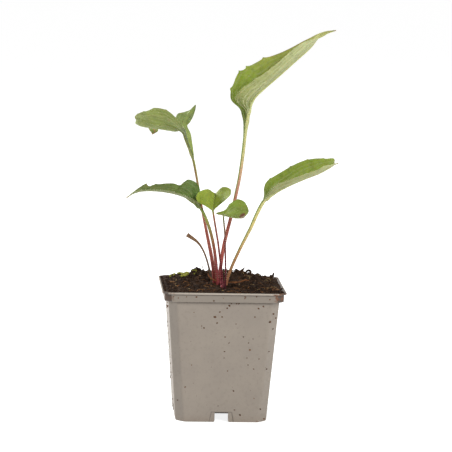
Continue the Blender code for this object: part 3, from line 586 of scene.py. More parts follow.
def mottled_finish(name, tints, roughness, patch_mm, detail=2.0, shine=0.1, relief=GRIT):
    """Tints that change over patches; relief is its grain in mm, detail, strength and depth."""
    made, tree, shader = new_material(name, roughness, Specular_IOR_Level=shine)
    place = add(tree, "TexCoord").outputs["Object"]
    clouds = add(tree, "TexNoise", {"Scale": PER_MM / patch_mm, "Detail": detail}, {0: place})
    colour = add(tree, "ValToRGB", {"stops": tints}, {0: clouds.outputs[0]})
    tree.links.new(colour.outputs[0], shader.inputs["Base Color"])
    if relief:
        grain, fineness, strength, depth = relief
        fine = add(tree, "TexNoise", {"Scale": PER_MM / grain, "Detail": fineness}, {0: place})
        bump = add(tree, "Bump", {"Strength": strength, "Distance": depth * MM},
                   {"Height": fine.outputs[0]})
        tree.links.new(bump.outputs[0], shader.inputs["Normal"])
    return made


def set_down(place, turns, size):
    """The matrix that scales a shape, turns it by (angle, axis) pairs and sets it on a place."""
    matrix = Matrix.Translation(place)
    for angle, axis in turns:
        matrix = matrix @ Matrix.Rotation(angle, 4, axis)
    return matrix @ Matrix.Diagonal((*size, 1.0))


def rough_ball(bm, fineness, dents, matrix):
    """A ball 1 mm across, dented by noises of (depth, closeness, place), then set by a matrix."""
    ball = bmesh.ops.create_icosphere(bm, subdivisions=fineness, radius=0.5)["verts"]
    for vert in ball:
        vert.co *= 1.0 + sum(depth * noise.noise(vert.co * close + Vector(spot))
                             for depth, close, spot in dents)
    bmesh.ops.transform(bm, matrix=matrix, verts=ball)


print("grit", GRIT[0], "mm wide and", GRIT[3], "mm deep")

# %% [markdown]
# Splashes of watered peat dried on the walls: thin rough dots, each thinner than a coin. They
# could be painted, but those at the wall's edge show against the light, so they are little balls,
# squashed flat against the wall. Those in the two lists are where the photograph shows them; the
# three walls that are not in front get more at random.

# %% Splashes of soil
SPLASHES_A_WALL = 26
SPLASH_TOP = 92.0
SPLASH_DEPTH = 0.3
LEFT_DEPTH = 0.9
FRONT_SPLASHES = (
    # across, height, size in mm
    (-41.0, 86.0, 2.0), (-32.1, 16.3, 1.0), (-26.9, 26.1, 1.1), (8.3, 23.5, 1.0), (13.5, 5.6, 1.5),
    (9.4, 9.3, 0.9), (28.3, 10.2, 1.0), (31.1, 2.8, 1.3), (26.1, 0.9, 1.0), (3.6, 86.8, 1.3),
    (8.8, 88.3, 1.2), (10.6, 88.5, 1.4), (28.2, 86.5, 1.1), (24.7, 85.0, 1.1), (14.8, 93.7, 1.2),
    (-1.5, 78.4, 1.2), (-5.0, 73.9, 1.1), (33.3, 75.1, 1.2), (35.6, 70.0, 1.2), (19.4, 54.2, 1.2),
    (-14.3, 70.1, 1.0), (-39.9, 53.5, 0.9), (-6.6, 78.3, 1.6), (-3.1, 82.0, 1.2), (2.0, 84.9, 1.1),
    (8.7, 73.3, 0.9), (14.4, 63.8, 1.0), (22.3, 78.7, 0.9), (35.6, 81.1, 1.2), (37.4, 78.1, 1.1),
    (-16.1, 71.5, 0.9), (1.1, 63.6, 0.9), (4.1, 59.2, 0.8), (1.0, 52.8, 0.9), (0.8, 48.0, 0.8),
    (21.4, 62.4, 0.8), (18.2, 59.4, 0.9), (33.2, 53.2, 0.8), (17.4, 48.2, 0.8), (26.1, 47.6, 0.8),
    (18.3, 43.0, 0.8), (22.4, 40.1, 0.9), (3.6, 38.4, 0.8), (32.0, 40.2, 0.8), (-22.6, 42.5, 0.8),
    (23.4, 18.1, 0.9), (-2.6, 12.2, 0.8), (14.5, 92.6, 1.0), (-20.4, 93.3, 1.0), (-7.8, 90.6, 0.9),
    (-27.5, 93.3, 0.8), (22.9, 94.0, 0.9), (-0.9, 92.6, 0.8), (32.5, 92.0, 1.0), (-37.0, 93.2, 1.1),
    (5.2, 88.4, 1.1), (-21.8, 81.5, 0.8), (-33.5, 92.4, 0.9),
)
LEFT_SPLASHES = ((4.0, 80.0, 2.4), (-11.0, 66.4, 1.7), (-8.0, 63.8, 1.3), (-17.0, 56.8, 1.5),
                 (5.0, 38.0, 1.2), (-1.0, 30.4, 1.5), (-6.0, 27.2, 1.3), (-25.0, 22.4, 1.3),
                 (2.0, 11.0, 1.2))


def side_wall(z):
    """Half the pot's outer width at a height, with the band."""
    return BAND_HALF if BAND_FOOT + 0.2 < z < LIP_FOOT else wall_half(z)


def add_splash(bm, across, z, size, quarter, chooser, depth=SPLASH_DEPTH):
    """A thin rough dot on one wall; across counts to the right as one faces the wall."""
    flat = (size * chooser.uniform(0.8, 1.3), depth, size * chooser.uniform(0.6, 1.1))
    seat = set_down((across, -side_wall(z) - 0.02, z), [(chooser.uniform(0.0, 3.1), "Y")], flat)
    rough_ball(bm, 2, [(0.5, 3.4, (across, z, size))], QUARTERS[quarter] @ seat)


splash_bm = bmesh.new()
chooser = random.Random(31)
for across, z, size in FRONT_SPLASHES:
    add_splash(splash_bm, across, z, 1.1 * size, 0, chooser)
for across, z, size in LEFT_SPLASHES:
    add_splash(splash_bm, across, z, 1.2 * size, 3, chooser, LEFT_DEPTH)
for quarter in (1, 2, 3):
    for _ in range(SPLASHES_A_WALL):
        z = SPLASH_TOP * chooser.random() ** 0.7 + 1.0
        across = chooser.uniform(-1.0, 1.0) * (side_wall(z) - BODY_CORNER - 1.0)
        add_splash(splash_bm, across, z, chooser.uniform(0.6, 1.5), quarter, chooser)
# Soil that dried from a splash is quite matt, and its brown goes from dark to sandy
dried_soil = mottled_finish("dried_soil", ((0.3, "33231A"), (0.5, "4E3829"), (0.7, "6E523D")), 0.95,
                            3.0, detail=3.0, shine=0.15, relief=None)
finish_piece(splash_bm, "soil_splashes", dried_soil)

# %% [markdown]
# ## Drawing a leaf
#
# A coneflower leaf is a long blade that tapers into a winged stalk. Its midrib, its two edges and
# its stalk were measured as rows of points. A smooth curve runs through each row. The leaf's
# middle sheet is spanned between them, and two skins lie on either side of it, thick on the rib
# and thin at the edge. Modelling it from a flat plane with a bend would be quicker, but these
# leaves fold along the midrib, so each half has to be free to lean its own way.

# %% Smooth curves through measured points
def curve_through(points, places):
    """Points on the smooth curve through a row of points; places count them from 0."""
    last = len(points) - 1
    first = np.clip(np.floor(places).astype(int), 0, last - 1)
    f = (places - first)[:, None]
    b, c = points[first], points[first + 1]
    a = np.where(first[:, None] > 0, points[np.maximum(first - 1, 0)], 2.0 * b - c)
    d = np.where(first[:, None] + 2 <= last, points[np.minimum(first + 2, last)], 2.0 * c - b)
    return 0.5 * (2.0 * b + (c - a) * f + (2.0 * a - 5.0 * b + 4.0 * c - d) * f ** 2
                  + (3.0 * b - a - 3.0 * c + d) * f ** 3)


def ease(value, low, high):
    """0 at low, 1 at high, with a smooth rise between."""
    share = np.clip((value - low) / (high - low), 0.0, 1.0)
    return share * share * (3.0 - 2.0 * share)


def lengths(vectors):
    """The length of each vector."""
    return np.linalg.norm(vectors, axis=-1)


def unit(vectors):
    """The same directions, each 1 long."""
    return vectors / np.maximum(lengths(vectors), 1e-9)[..., None]


print("a quarter of the way up, an eased rise is at", float(ease(0.25, 0.0, 1.0)))

# %% [markdown]
# A leaf is kept as a plain record of its measurements. Its places are counted along the points
# of its spine: first the stalk, then the midrib. The stalk's width is given by a short list.

# %% Record one leaf's measurements
TIP_HALF = 0.3


def measured_leaf(stalk, widths, thickness, side, midrib=(), near=(), far=(), under=(0, 0, -1),
                  bows=(0.08, 0.08), teeth=(), tooth=(0.0, 0.0)):
    """A record of one leaf: its spine, stalk sizes, edges, how far each half bows, its teeth."""
    leaf = {"spine": np.array(list(stalk) + list(midrib), float), "widths": np.array(widths),
            "joint": len(stalk) - (0 if midrib else 1), "stations": max(len(midrib) - 1, 0),
            "thickness": np.array(thickness), "side": np.array(side, float),
            "under": unit(np.array(under, float)), "bows": bows, "teeth": teeth, "tooth": tooth}
    if midrib:
        joint = np.array([float(leaf["joint"])])
        across = across_stalk(leaf, joint)[0]
        start = curve_through(leaf["spine"], joint)[0]
        half = stalk_half(leaf, joint)[0]
        leaf["edges"] = [np.vstack([start - across * (sign * half), np.array(points, float),
                                    leaf["spine"][-1] - across * (sign * TIP_HALF)])
                         for sign, points in ((-1.0, near), (1.0, far))]
    return leaf


def stalk_size(leaf, which, places):
    """The stalk's width or thickness at some places, from its short list."""
    share = np.minimum(places / leaf["joint"], 1.0) * (len(leaf[which]) - 1)
    return np.interp(share, np.arange(len(leaf[which])), leaf[which])


def stalk_half(leaf, places):
    """Half the stalk's width at some places."""
    return 0.5 * stalk_size(leaf, "widths", places)


def across_stalk(leaf, places):
    """The direction across the stalk, square to its run."""
    run = curve_through(leaf["spine"], places + 0.01) - curve_through(leaf["spine"], places - 0.01)
    share = (run @ leaf["side"]) / (run * run).sum(axis=1)
    return unit(leaf["side"] - run * share[:, None])


print("a leaf's tip is", 2.0 * TIP_HALF, "mm wide")

# %% The reach from the midrib to an edge, with its teeth
TOOTH_DROP = 0.022
TOOTH_CURL = 0.5
TOOTH_SPIKE = 0.006
TOOTH_RISE = 0.6


def tooth_share(leaf, share):
    """How far the teeth stand out: each rises towards the tip, ends in a spike and drops off."""
    out = np.zeros_like(share)
    start = 0.0
    for peak in leaf["teeth"]:
        rising = (share > start) & (share <= peak)
        out[rising] = TOOTH_RISE * ((share[rising] - start) / (peak - start)) ** 3
        start = peak + TOOTH_DROP
        falling = (share > peak) & (share < start)
        out[falling] = TOOTH_RISE * (start - share[falling]) / TOOTH_DROP
        out += TOOTH_RISE * np.exp(-((share - peak) / TOOTH_SPIKE) ** 2)
    return out


def reach_to_edge(leaf, places, which):
    """The vectors from the spine to the near edge (0) or the far edge (1)."""
    sign = (-1.0, 1.0)[which]
    stalk = across_stalk(leaf, places) * (-sign * stalk_half(leaf, places))[:, None]
    if not leaf["stations"]:
        return stalk
    along = np.maximum(places - leaf["joint"], 0.0)
    share = along / leaf["stations"]
    reach = curve_through(leaf["edges"][which], along) - curve_through(leaf["spine"], places)
    size = leaf["tooth"][which] * (1.0 - 0.5 * share) * tooth_share(leaf, share)
    reach = reach + (unit(reach) - TOOTH_CURL * leaf["under"]) * size[:, None]
    return np.where((places > leaf["joint"])[:, None], reach, stalk)


print("a tooth drops off over", TOOTH_DROP, "of the blade")

# %% [markdown]
# Rows have to lie closer where there is more to show: about half a millimetre apart in the
# blade, for its veins and teeth, and wider down the plain stalk. Counting rows by the longest of
# the three curves keeps them close at a broad shoulder too.

# %% Spread the rows along a leaf
BLADE_STEP = 0.55
STALK_STEP = 1.6


def even_places(leaf, start, stop, step):
    """Places between two others whose rows lie at most a step apart."""
    fine = np.linspace(start, stop, 1500)
    spine = curve_through(leaf["spine"], fine)
    rails = [spine] + [spine + reach_to_edge(leaf, fine, which) for which in (0, 1)]
    moved = np.max([lengths(np.diff(rail, axis=0)) for rail in rails], axis=0)
    run = np.concatenate([[0.0], np.cumsum(np.minimum(moved, 3.0 * np.median(moved)))])
    rows = max(int(run[-1] / step), 4)
    return np.interp(np.linspace(0.0, run[-1], rows + 1), run, fine)


def leaf_places(leaf):
    """The places of all rows, from the stalk's foot to the tip."""
    stalk = even_places(leaf, 0.0, float(leaf["joint"]), STALK_STEP)
    if not leaf["stations"]:
        return stalk
    blade = even_places(leaf, float(leaf["joint"]), float(leaf["joint"] + leaf["stations"]),
                        BLADE_STEP)
    return np.concatenate([stalk[:-1], blade])


print("rows", BLADE_STEP, "mm apart on a blade,", STALK_STEP, "mm on a stalk")

# %% [markdown]
# Coneflower veins leave the midrib near its foot and arch forward, almost beside it, and run out
# along the margin. Each is a curve in the leaf's own two measures: how far along the blade, and
# how far across it. How near a point lies to such a curve says how thick and how pale it is.

# %% Where the side veins run
SIDE_VEINS = (
    # start along the blade, how long it takes to swing out, strength
    (-0.02, 0.12, 1.0),
    (0.02, 0.34, 1.0),
    (0.09, 0.50, 0.9),
    (0.20, 0.42, 0.75),
    (0.33, 0.36, 0.7),
    (0.46, 0.30, 0.6),
    (0.59, 0.26, 0.55),
    (0.72, 0.20, 0.45),
)
VEIN_WIDTH = 0.34
VEIN_TOP = 0.95


def vein_distance(share, across, reach_mm, blade_mm):
    """Distance to each side vein in mm, and its strength there."""
    found = []
    for start, run, strength in SIDE_VEINS:
        onward = np.maximum(share - start, 0.0)
        line = VEIN_TOP * (1.0 - np.exp(-onward / run))
        slope = VEIN_TOP / run * np.exp(-onward / run) * reach_mm / blade_mm
        away = np.abs(np.abs(across) - line) * reach_mm / np.sqrt(1.0 + slope ** 2)
        alive = np.where(share > start, strength * (1.0 - 0.55 * ease(line, 0.5, 0.95)), 0.0)
        found.append((away, alive))
    return found


print(len(SIDE_VEINS), "side veins on each half of a blade")

# %% [markdown]
# Now the sheet half way between the two skins. It is a grid: its rows follow the leaf, and its
# columns run from the near edge over the midrib to the far edge. On the stalk they are spread as
# round a pipe, and on the blade they lie closer near the rib.

# %% Lay out a leaf's middle sheet
HALF_COLUMNS = 30
BLADE = 0.42
RIB_TIP_HALF = 0.45


def rib_size(leaf, places):
    """Half-width and thickness of the rib, which runs out thin towards the tip."""
    share = np.clip((places - leaf["joint"]) / max(leaf["stations"], 1), 0.0, 1.0) ** 0.6
    half = 1.02 * stalk_half(leaf, np.minimum(places, leaf["joint"]))
    thick = stalk_size(leaf, "thickness", places)
    if leaf["stations"]:
        half = half + (RIB_TIP_HALF - half) * share
        thick = thick + (BLADE + 0.15 - thick) * share
    return half, thick


def both(near, far):
    """Two halves of a grid side by side, with the midrib that they share once."""
    return np.concatenate([near[:, :0:-1], far], axis=1)


def middle_sheet(leaf, places, spine, half):
    """Its points and normals, each point's place across, the width there and its turn."""
    reaches = [reach_to_edge(leaf, places, which) for which in (0, 1)]
    sizes = [lengths(reach) for reach in reaches]
    out = np.linspace(0.0, 1.0, HALF_COLUMNS + 1)[None, :]
    flat = ease(np.minimum(*sizes) / half, 1.1, 2.2)[:, None]
    spread = np.sin(out * math.pi / 2.0) * (1.0 - flat) + out ** 1.4 * flat
    halves = []
    for which in (0, 1):
        chord = unit(reaches[which])
        down = unit(leaf["under"] - chord * (chord @ leaf["under"])[:, None])
        bow = 4.0 * leaf["bows"][which] * sizes[which] * ease(sizes[which], 1.5, 6.0)
        bow = np.where(places > leaf["joint"], bow, 0.0)
        halves.append(spine[:, None] + reaches[which][:, None] * spread[..., None]
                      + down[:, None] * (bow[:, None] * spread * (1.0 - spread))[..., None])
    middle = both(*halves)
    normal = unit(np.cross(np.gradient(middle, axis=0), np.gradient(middle, axis=1)))
    widest = int(np.argmin(np.abs(places - leaf["joint"] - 0.4 * leaf["stations"])))
    if normal[widest, HALF_COLUMNS] @ leaf["under"] < 0.0:
        normal = -normal
    size = both(*[np.repeat(length[:, None], HALF_COLUMNS + 1, axis=1) for length in sizes])
    return middle, normal, both(-spread, spread), size, np.repeat(both(out, out), len(places), axis=0)


print(2 * HALF_COLUMNS + 1, "columns across a leaf, blade", BLADE, "mm thick")

# %% [markdown]
# The veins are laid over the sheet as if it were flat, and a slow noise makes them waver. Two
# readings come out: one that is high only on a vein, for its colour and ridge, and a broad one
# that is high near it too, since the blade puffs up only between the veins.

# %% Lay the side veins over the sheet
VEIN_WANDER = 0.05
RIB_REACH = 2.4
VEIN_REACH = 1.7


def laid_veins(share, across, size, blade, run, blade_mm, seed):
    """The veins, how near they are, the slow noise, and each point's place laid out flat."""
    flat_place = np.stack([across * size, np.repeat(run[:, None], across.shape[1], axis=1),
                           np.zeros_like(across)], axis=-1)
    wander = np.array([[noise.noise(Vector((x * 0.12, y * 0.10, seed))) for x, y in row]
                       for row in flat_place[..., :2]])
    wavering = across + VEIN_WANDER * wander * np.sign(across)
    vein, broad = np.zeros_like(across), np.exp(-(np.abs(across) * size / RIB_REACH) ** 2)
    for distance, strength in vein_distance(share, wavering, size, blade_mm):
        vein = np.maximum(vein, strength * np.exp(-(distance / VEIN_WIDTH) ** 2))
        broad = np.maximum(broad, strength * np.exp(-(distance / VEIN_REACH) ** 2))
    return vein * blade, broad, wander, flat_place


print("blade flat within", RIB_REACH, "mm of the rib and", VEIN_REACH, "mm of a vein")

# %% [markdown]
# The skins step off from the sheet along its normals. The rib bulges below and a groove runs
# above it, the veins stand a little proud below, and the blade puffs up between them.

# %% Step off to the two skins
RIB_GROOVE = 0.22
RIB_GROOVE_HALF = 0.55
STALK_GROOVE = 0.16
VEIN_GROOVE = 0.07
VEIN_RIDGE = 0.16


def leaf_sheet(leaf, puff, ripple, seed):
    """The upper and lower skins as grids of points, with the measures that paint them."""
    places = leaf_places(leaf)
    half, thick = rib_size(leaf, places)
    spine = curve_through(leaf["spine"], places)
    middle, normal, across, size, turn = middle_sheet(leaf, places, spine, half)
    away = np.abs(across) * size
    share = np.clip((places - leaf["joint"]) / max(leaf["stations"], 1), 0.0, 1.0)[:, None]
    blade = ease(size / half[:, None], 1.2, 3.0) * (places > leaf["joint"])[:, None]
    blade_mm = lengths(np.diff(spine[places > leaf["joint"]], axis=0)).sum() + 1.0
    run = np.concatenate([[0.0], np.cumsum(lengths(np.diff(spine, axis=0)))])
    vein, broad, wander, flat_place = laid_veins(share, across, size, blade, run, blade_mm, seed)

    edge_on = ease(np.abs(across), 1.0, 0.82)
    lift = blade * edge_on * (puff * (1.0 - broad) - 0.5 * puff)
    lift = lift + blade * ripple * ease(np.abs(across), 0.15, 0.6) * wander
    middle = middle - normal * lift[..., None]

    round_rib = np.sqrt(np.maximum(1.0 - np.minimum(away / half[:, None], 1.0) ** 2, 0.0))
    skin = BLADE * (1.0 - 0.45 * blade * ease(np.abs(across), 0.86, 1.0))
    full = skin + (thick[:, None] - skin) * round_rib
    above = full / 2.0 + (skin / 2.0 - full / 2.0) * ease(size / half[:, None], 1.2, 3.0)
    below = full - above + VEIN_RIDGE * vein
    above = above - RIB_GROOVE * blade * np.exp(-(away / RIB_GROOVE_HALF) ** 2)
    above = above - VEIN_GROOVE * vein
    stalk_groove = np.exp(-(across / 0.4) ** 2) * (1.0 - blade)
    above = above - STALK_GROOVE * thick[:, None] * stalk_groove * (places > 1.5)[:, None]
    measures = {"along": np.repeat(places[:, None], across.shape[1], axis=1), "across": across,
                "turn": turn, "share": np.repeat(share, across.shape[1], axis=1),
                "blade": blade, "vein": vein,
                "rib": blade * ease(away / half[:, None], 1.15, 0.75),
                "line": 0.6 * blade * ease(away, 0.5, 0.2),
                "flat": flat_place, "normal": normal}
    return middle - normal * above[..., None], middle + normal * below[..., None], measures


print("rib groove", RIB_GROOVE, "mm deep, veins", VEIN_RIDGE, "mm proud")

# %% [markdown]
# The skins become one closed mesh in three strokes: a flat grid, one extrusion that doubles it
# and adds the rim, and each vertex moved to its place. The measures ride along as attributes,
# which the materials read later, so the colours follow the leaf however it bends.

# %% Build a closed sheet from two skins
def sheet_mesh(name, top, bottom, measures):
    """A closed sheet; measures are painted on it as attributes, one value for each vertex."""
    long, wide = top.shape[0] - 1, top.shape[1] - 1
    bm = bmesh.new()
    bmesh.ops.create_grid(bm, x_segments=wide, y_segments=long, size=0.5)
    lower = set(bm.verts)
    bmesh.ops.extrude_face_region(bm, geom=bm.faces[:], use_keep_orig=True)
    spots = np.array([(vert.co.x, vert.co.y, vert in lower) for vert in bm.verts])
    columns = np.rint((spots[:, 0] + 0.5) * wide).astype(int)
    rows = np.rint((spots[:, 1] + 0.5) * long).astype(int)
    is_lower = spots[:, 2] > 0.5
    points = np.where(is_lower[:, None], bottom[rows, columns], top[rows, columns])
    for vert, point in zip(bm.verts, points):
        vert.co = point
    point_outwards(bm)
    bm.transform(HOME)
    mesh = bpy.data.meshes.new(name)
    bm.to_mesh(mesh)
    bm.free()
    painted = {key: value[rows, columns] for key, value in measures.items()}
    painted["underside"] = is_lower.astype(float)
    painted["rib"] = np.where(is_lower, painted["rib"], painted["line"])
    painted["round"] = np.where(is_lower, 1.0 - 0.5 * painted["turn"], 0.5 * painted["turn"])
    for key, value in painted.items():
        kind = "FLOAT_VECTOR" if value.ndim == 2 else "FLOAT"
        layer = mesh.attributes.new(key, kind, "POINT")
        layer.data.foreach_set("vector" if value.ndim == 2 else "value",
                               value.astype(np.float32).ravel())
    print(name, long + 1, "rows of", wide + 1)
    return mesh


# %% [markdown]
# ## The colours of a leaf
#
# A leaf is a waxy green skin over a paler, netted underside, and neither is even: the green is
# mottled, the small net of veins is lighter, and the stalk runs from green through straw to a
# dark red foot. Each colour comes from a ramp read along the leaf. The wax gives a soft highlight,
# and a little light scatters inside the thin blade.

# %% A finish for leaves
NET_CELL = 1.7


def leaf_finish(name, upper, under, net, vein, stem, wing, dead="7A5A3C"):
    """A green blade on a coloured stalk; the ramps read the blade or the stem from foot to tip."""
    made, tree, shader = new_material(name, 0.56, Specular_IOR_Level=0.18,
                                      Subsurface_Weight=0.08, Subsurface_Scale=0.0006)
    read = {key: add(tree, "Attribute", {"attribute_name": key}).outputs["Fac"]
            for key in ("share", "underside", "blade", "vein", "rib", "stem", "wing", "round", "dead")}
    flat = add(tree, "Attribute", {"attribute_name": "flat"}).outputs["Vector"]

    # The two skins' greens along the blade, mottled in patches of about 5 mm
    above = add(tree, "ValToRGB", {"stops": upper}, {0: read["share"]}).outputs[0]
    below = add(tree, "ValToRGB", {"stops": under}, {0: read["share"]}).outputs[0]
    colour = add(tree, "Mix", RGBA, {0: read["underside"], 6: above, 7: below}).outputs[2]
    mottle = add(tree, "TexNoise", {"Scale": 1.0 / 5.0, "Detail": 4.0, "Roughness": 0.65},
                 {0: flat}).outputs[0]
    shade = add(tree, "ValToRGB", {"stops": ((0.3, "CACACA"), (0.5, "F0F0F0"), (0.7, "FFFFFF"))},
                {0: mottle}).outputs[0]
    colour = add(tree, "Mix", {**RGBA, "blend_type": "MULTIPLY", 0: 1.0},
                 {6: colour, 7: shade}).outputs[2]

    # The small net of veins: the edges of bent cells, plainer below than above
    warp = add(tree, "TexNoise", {"Scale": 0.5, "Detail": 1.0}, {0: flat}).outputs["Color"]
    bent = add(tree, "VectorMath", {"operation": "MULTIPLY_ADD", 1: (1.2, 1.2, 0.0)},
               {0: warp, 2: flat}).outputs[0]
    cells = add(tree, "TexVoronoi", {"feature": "DISTANCE_TO_EDGE", "Scale": 1.0 / NET_CELL},
                {0: bent}).outputs[0]
    line = add(tree, "MapRange", {**SMOOTH, 1: 0.11, 2: 0.02}, {0: cells}).outputs[0]
    show = add(tree, "MapRange", {3: 0.22, 4: 0.4}, {0: read["underside"]}).outputs[0]
    show = add(tree, "Math", MULTIPLY, {0: show, 1: line}).outputs[0]
    colour = add(tree, "Mix", {**RGBA, 7: net}, {0: show, 6: colour}).outputs[2]

    # The side veins
    show = add(tree, "MapRange", {3: 0.35, 4: 0.85}, {0: read["underside"]}).outputs[0]
    show = add(tree, "Math", MULTIPLY, {0: show, 1: read["vein"]}).outputs[0]
    colour = add(tree, "Mix", {**RGBA, 7: vein}, {0: show, 6: colour}).outputs[2]

    # The stalk and midrib, with the green wing that runs down the stalk
    along = add(tree, "ValToRGB", {"stops": stem}, {0: read["stem"]}).outputs[0]
    fleck = add(tree, "TexNoise", {"Scale": 1.4, "Detail": 3.0}, {0: flat}).outputs[0]
    fleck = add(tree, "ValToRGB", {"stops": ((0.3, "CFCFCF"), (0.65, "FFFFFF"))},
                {0: fleck}).outputs[0]
    along = add(tree, "Mix", {**RGBA, "blend_type": "MULTIPLY", 0: 1.0},
                {6: along, 7: fleck}).outputs[2]
    side = add(tree, "MapRange", {**SMOOTH, 1: 0.46, 2: 0.34}, {0: read["round"]}).outputs[0]
    side = add(tree, "Math", MULTIPLY, {0: side, 1: read["wing"]}).outputs[0]
    along = add(tree, "Mix", {**RGBA, 7: wing}, {0: side, 6: along}).outputs[2]
    bare = add(tree, "Math", {"operation": "SUBTRACT", 0: 1.0}, {1: read["blade"]}).outputs[0]
    is_stem = add(tree, "Math", {"operation": "MAXIMUM"}, {0: bare, 1: read["rib"]}).outputs[0]
    colour = add(tree, "Mix", RGBA, {0: is_stem, 6: colour, 7: along}).outputs[2]

    # Withered patches, and the relief of the net
    colour = add(tree, "Mix", {**RGBA, 7: dead}, {0: read["dead"], 6: colour}).outputs[2]
    tree.links.new(colour, shader.inputs["Base Color"])
    height = add(tree, "Math", {"operation": "MULTIPLY_ADD", 1: 0.5}, {0: line, 2: mottle}).outputs[0]
    bump = add(tree, "Bump", {"Strength": 0.35, "Distance": 0.14 * MM}, {"Height": height})
    tree.links.new(bump.outputs[0], shader.inputs["Normal"])
    print(name, len(tree.nodes), "nodes")
    return made


# %% [markdown]
# The stalk is hairy, and so are the veins and margins: short stiff bristles that make a coneflower
# leaf rough to the touch. A particle system would draw them, but real hairs that can be exported
# are only thin tapered threads, so one helper turns many short lines into one mesh of threads.

# %% Threads: hairs, fibres and twigs
HAIR_THICKNESS = 0.09
HAIRS_FROM = 100.0


def thread_mesh(name, lines, thickness, fineness=0):
    """Tapered threads along lines of (point, width share) as one mesh, in millimetres."""
    curve = bpy.data.curves.new(name, "CURVE")
    curve.dimensions = "3D"
    curve.bevel_depth = thickness / 2.0
    curve.bevel_resolution = fineness
    curve.use_fill_caps = True
    for line in lines:
        spline = curve.splines.new("POLY")
        spline.points.add(len(line) - 1)
        spline.points.foreach_set("co", [c for point, _ in line for c in (*point, 1.0)])
        spline.points.foreach_set("radius", [share for _, share in line])
    holder = bpy.data.objects.new(name, curve)
    bpy.context.scene.collection.objects.link(holder)
    bpy.context.view_layer.update()
    seen = holder.evaluated_get(bpy.context.evaluated_depsgraph_get())
    mesh = bpy.data.meshes.new_from_object(seen)
    bpy.data.objects.remove(holder)
    return mesh


def leaf_hairs(name, top, bottom, measures, count, seed, finish):
    """Bristles on the stalk, the rib, the veins and the margins."""
    chooser = np.random.default_rng(seed)
    weight = 1.0 - measures["blade"] + 1.2 * measures["rib"] + 0.5 * measures["vein"]
    weight = weight + 3.0 * (np.abs(measures["across"]) > 0.97) * measures["blade"] + 0.03
    weight = weight * (top[..., 2] > HAIRS_FROM)
    picks = chooser.choice(weight.size, count, p=(weight / weight.sum()).ravel())
    lines = []
    for pick in picks:
        row, column = divmod(int(pick), weight.shape[1])
        lower = chooser.random() < 0.6
        root = (bottom if lower else top)[row, column]
        out = measures["normal"][row, column] * (1.0 if lower else -1.0)
        length = chooser.uniform(0.35, 0.8)
        lean = chooser.normal(0.0, 0.35, 3)
        aim = unit(out + lean) * length
        lines.append([(root - out * 0.08, 1.0), (root + aim, 0.15)])
    mesh = thread_mesh(name, lines, HAIR_THICKNESS)
    mesh.transform(HOME)
    finish_mesh(mesh, name, finish)


# A bristle is a stiff clear hair: it catches the light as a pale, fairly glossy line
hair_finish = mottled_finish("leaf_bristle", ((0.35, "C9C89A"), (0.65, "EDEBD2")), 0.45, 6.0,
                             shine=0.5, relief=None)
print("hairs", HAIR_THICKNESS, "mm thick, from", HAIRS_FROM, "mm up")


# %% Grow one leaf
def grow_leaf(name, leaf, finish, stands_for, hairs, seed, wing_from=0.5, wing_top=1.0, dead=(),
              tip_dead=0.0, edge_dead=0.0, puff=0.3, ripple=0.35):
    """Build one leaf and its hairs; dead lists withered patches as place, across and size."""
    top, bottom, measures = leaf_sheet(leaf, puff, ripple, float(seed))
    joint = leaf["joint"]
    along, across, share = measures["along"], measures["across"], measures["share"]
    measures["stem"] = np.where(along < joint, 0.5 * along / joint, 0.5 + 0.5 * share)
    above = ease(along / joint, wing_from, wing_from + 0.35) * (1.0 - measures["blade"])
    measures["wing"] = above * wing_top
    withered = tip_dead * ease(share, 0.965, 0.99)
    margin = edge_dead * ease(share, 0.5, 0.75) * ease(across, 0.9, 1.0)
    withered = np.maximum(withered, margin)
    for place, side, size in dead:
        gap = np.hypot((share - place) / size, (across - side) / (size * 4.0))
        withered = np.maximum(withered, ease(gap, 1.0, 0.6))
    measures["dead"] = withered
    mesh = sheet_mesh(name, top, bottom,
                      {key: value for key, value in measures.items()
                       if key not in ("normal", "along")})
    finish_mesh(mesh, name, finish, (stands_for,), 50.0)
    if hairs:
        leaf_hairs(name + "_hairs", top, bottom, measures, hairs, seed, hair_finish)


# %% [markdown]
# ## The six leaves
#
# Each leaf below is one record of points, in millimetres from the pot's middle. They were found
# by laying drawn outlines over the photograph; what it hides behind a leaf was judged from how
# such a blade bends. The tall leaf comes first. It arches to the right, folded along its midrib,
# so its near half shows the pale netted underside and its far half the bright upper face.

# %% The tall leaf
TOWARD_VIEW = (0.0, -1.0, 0.0)

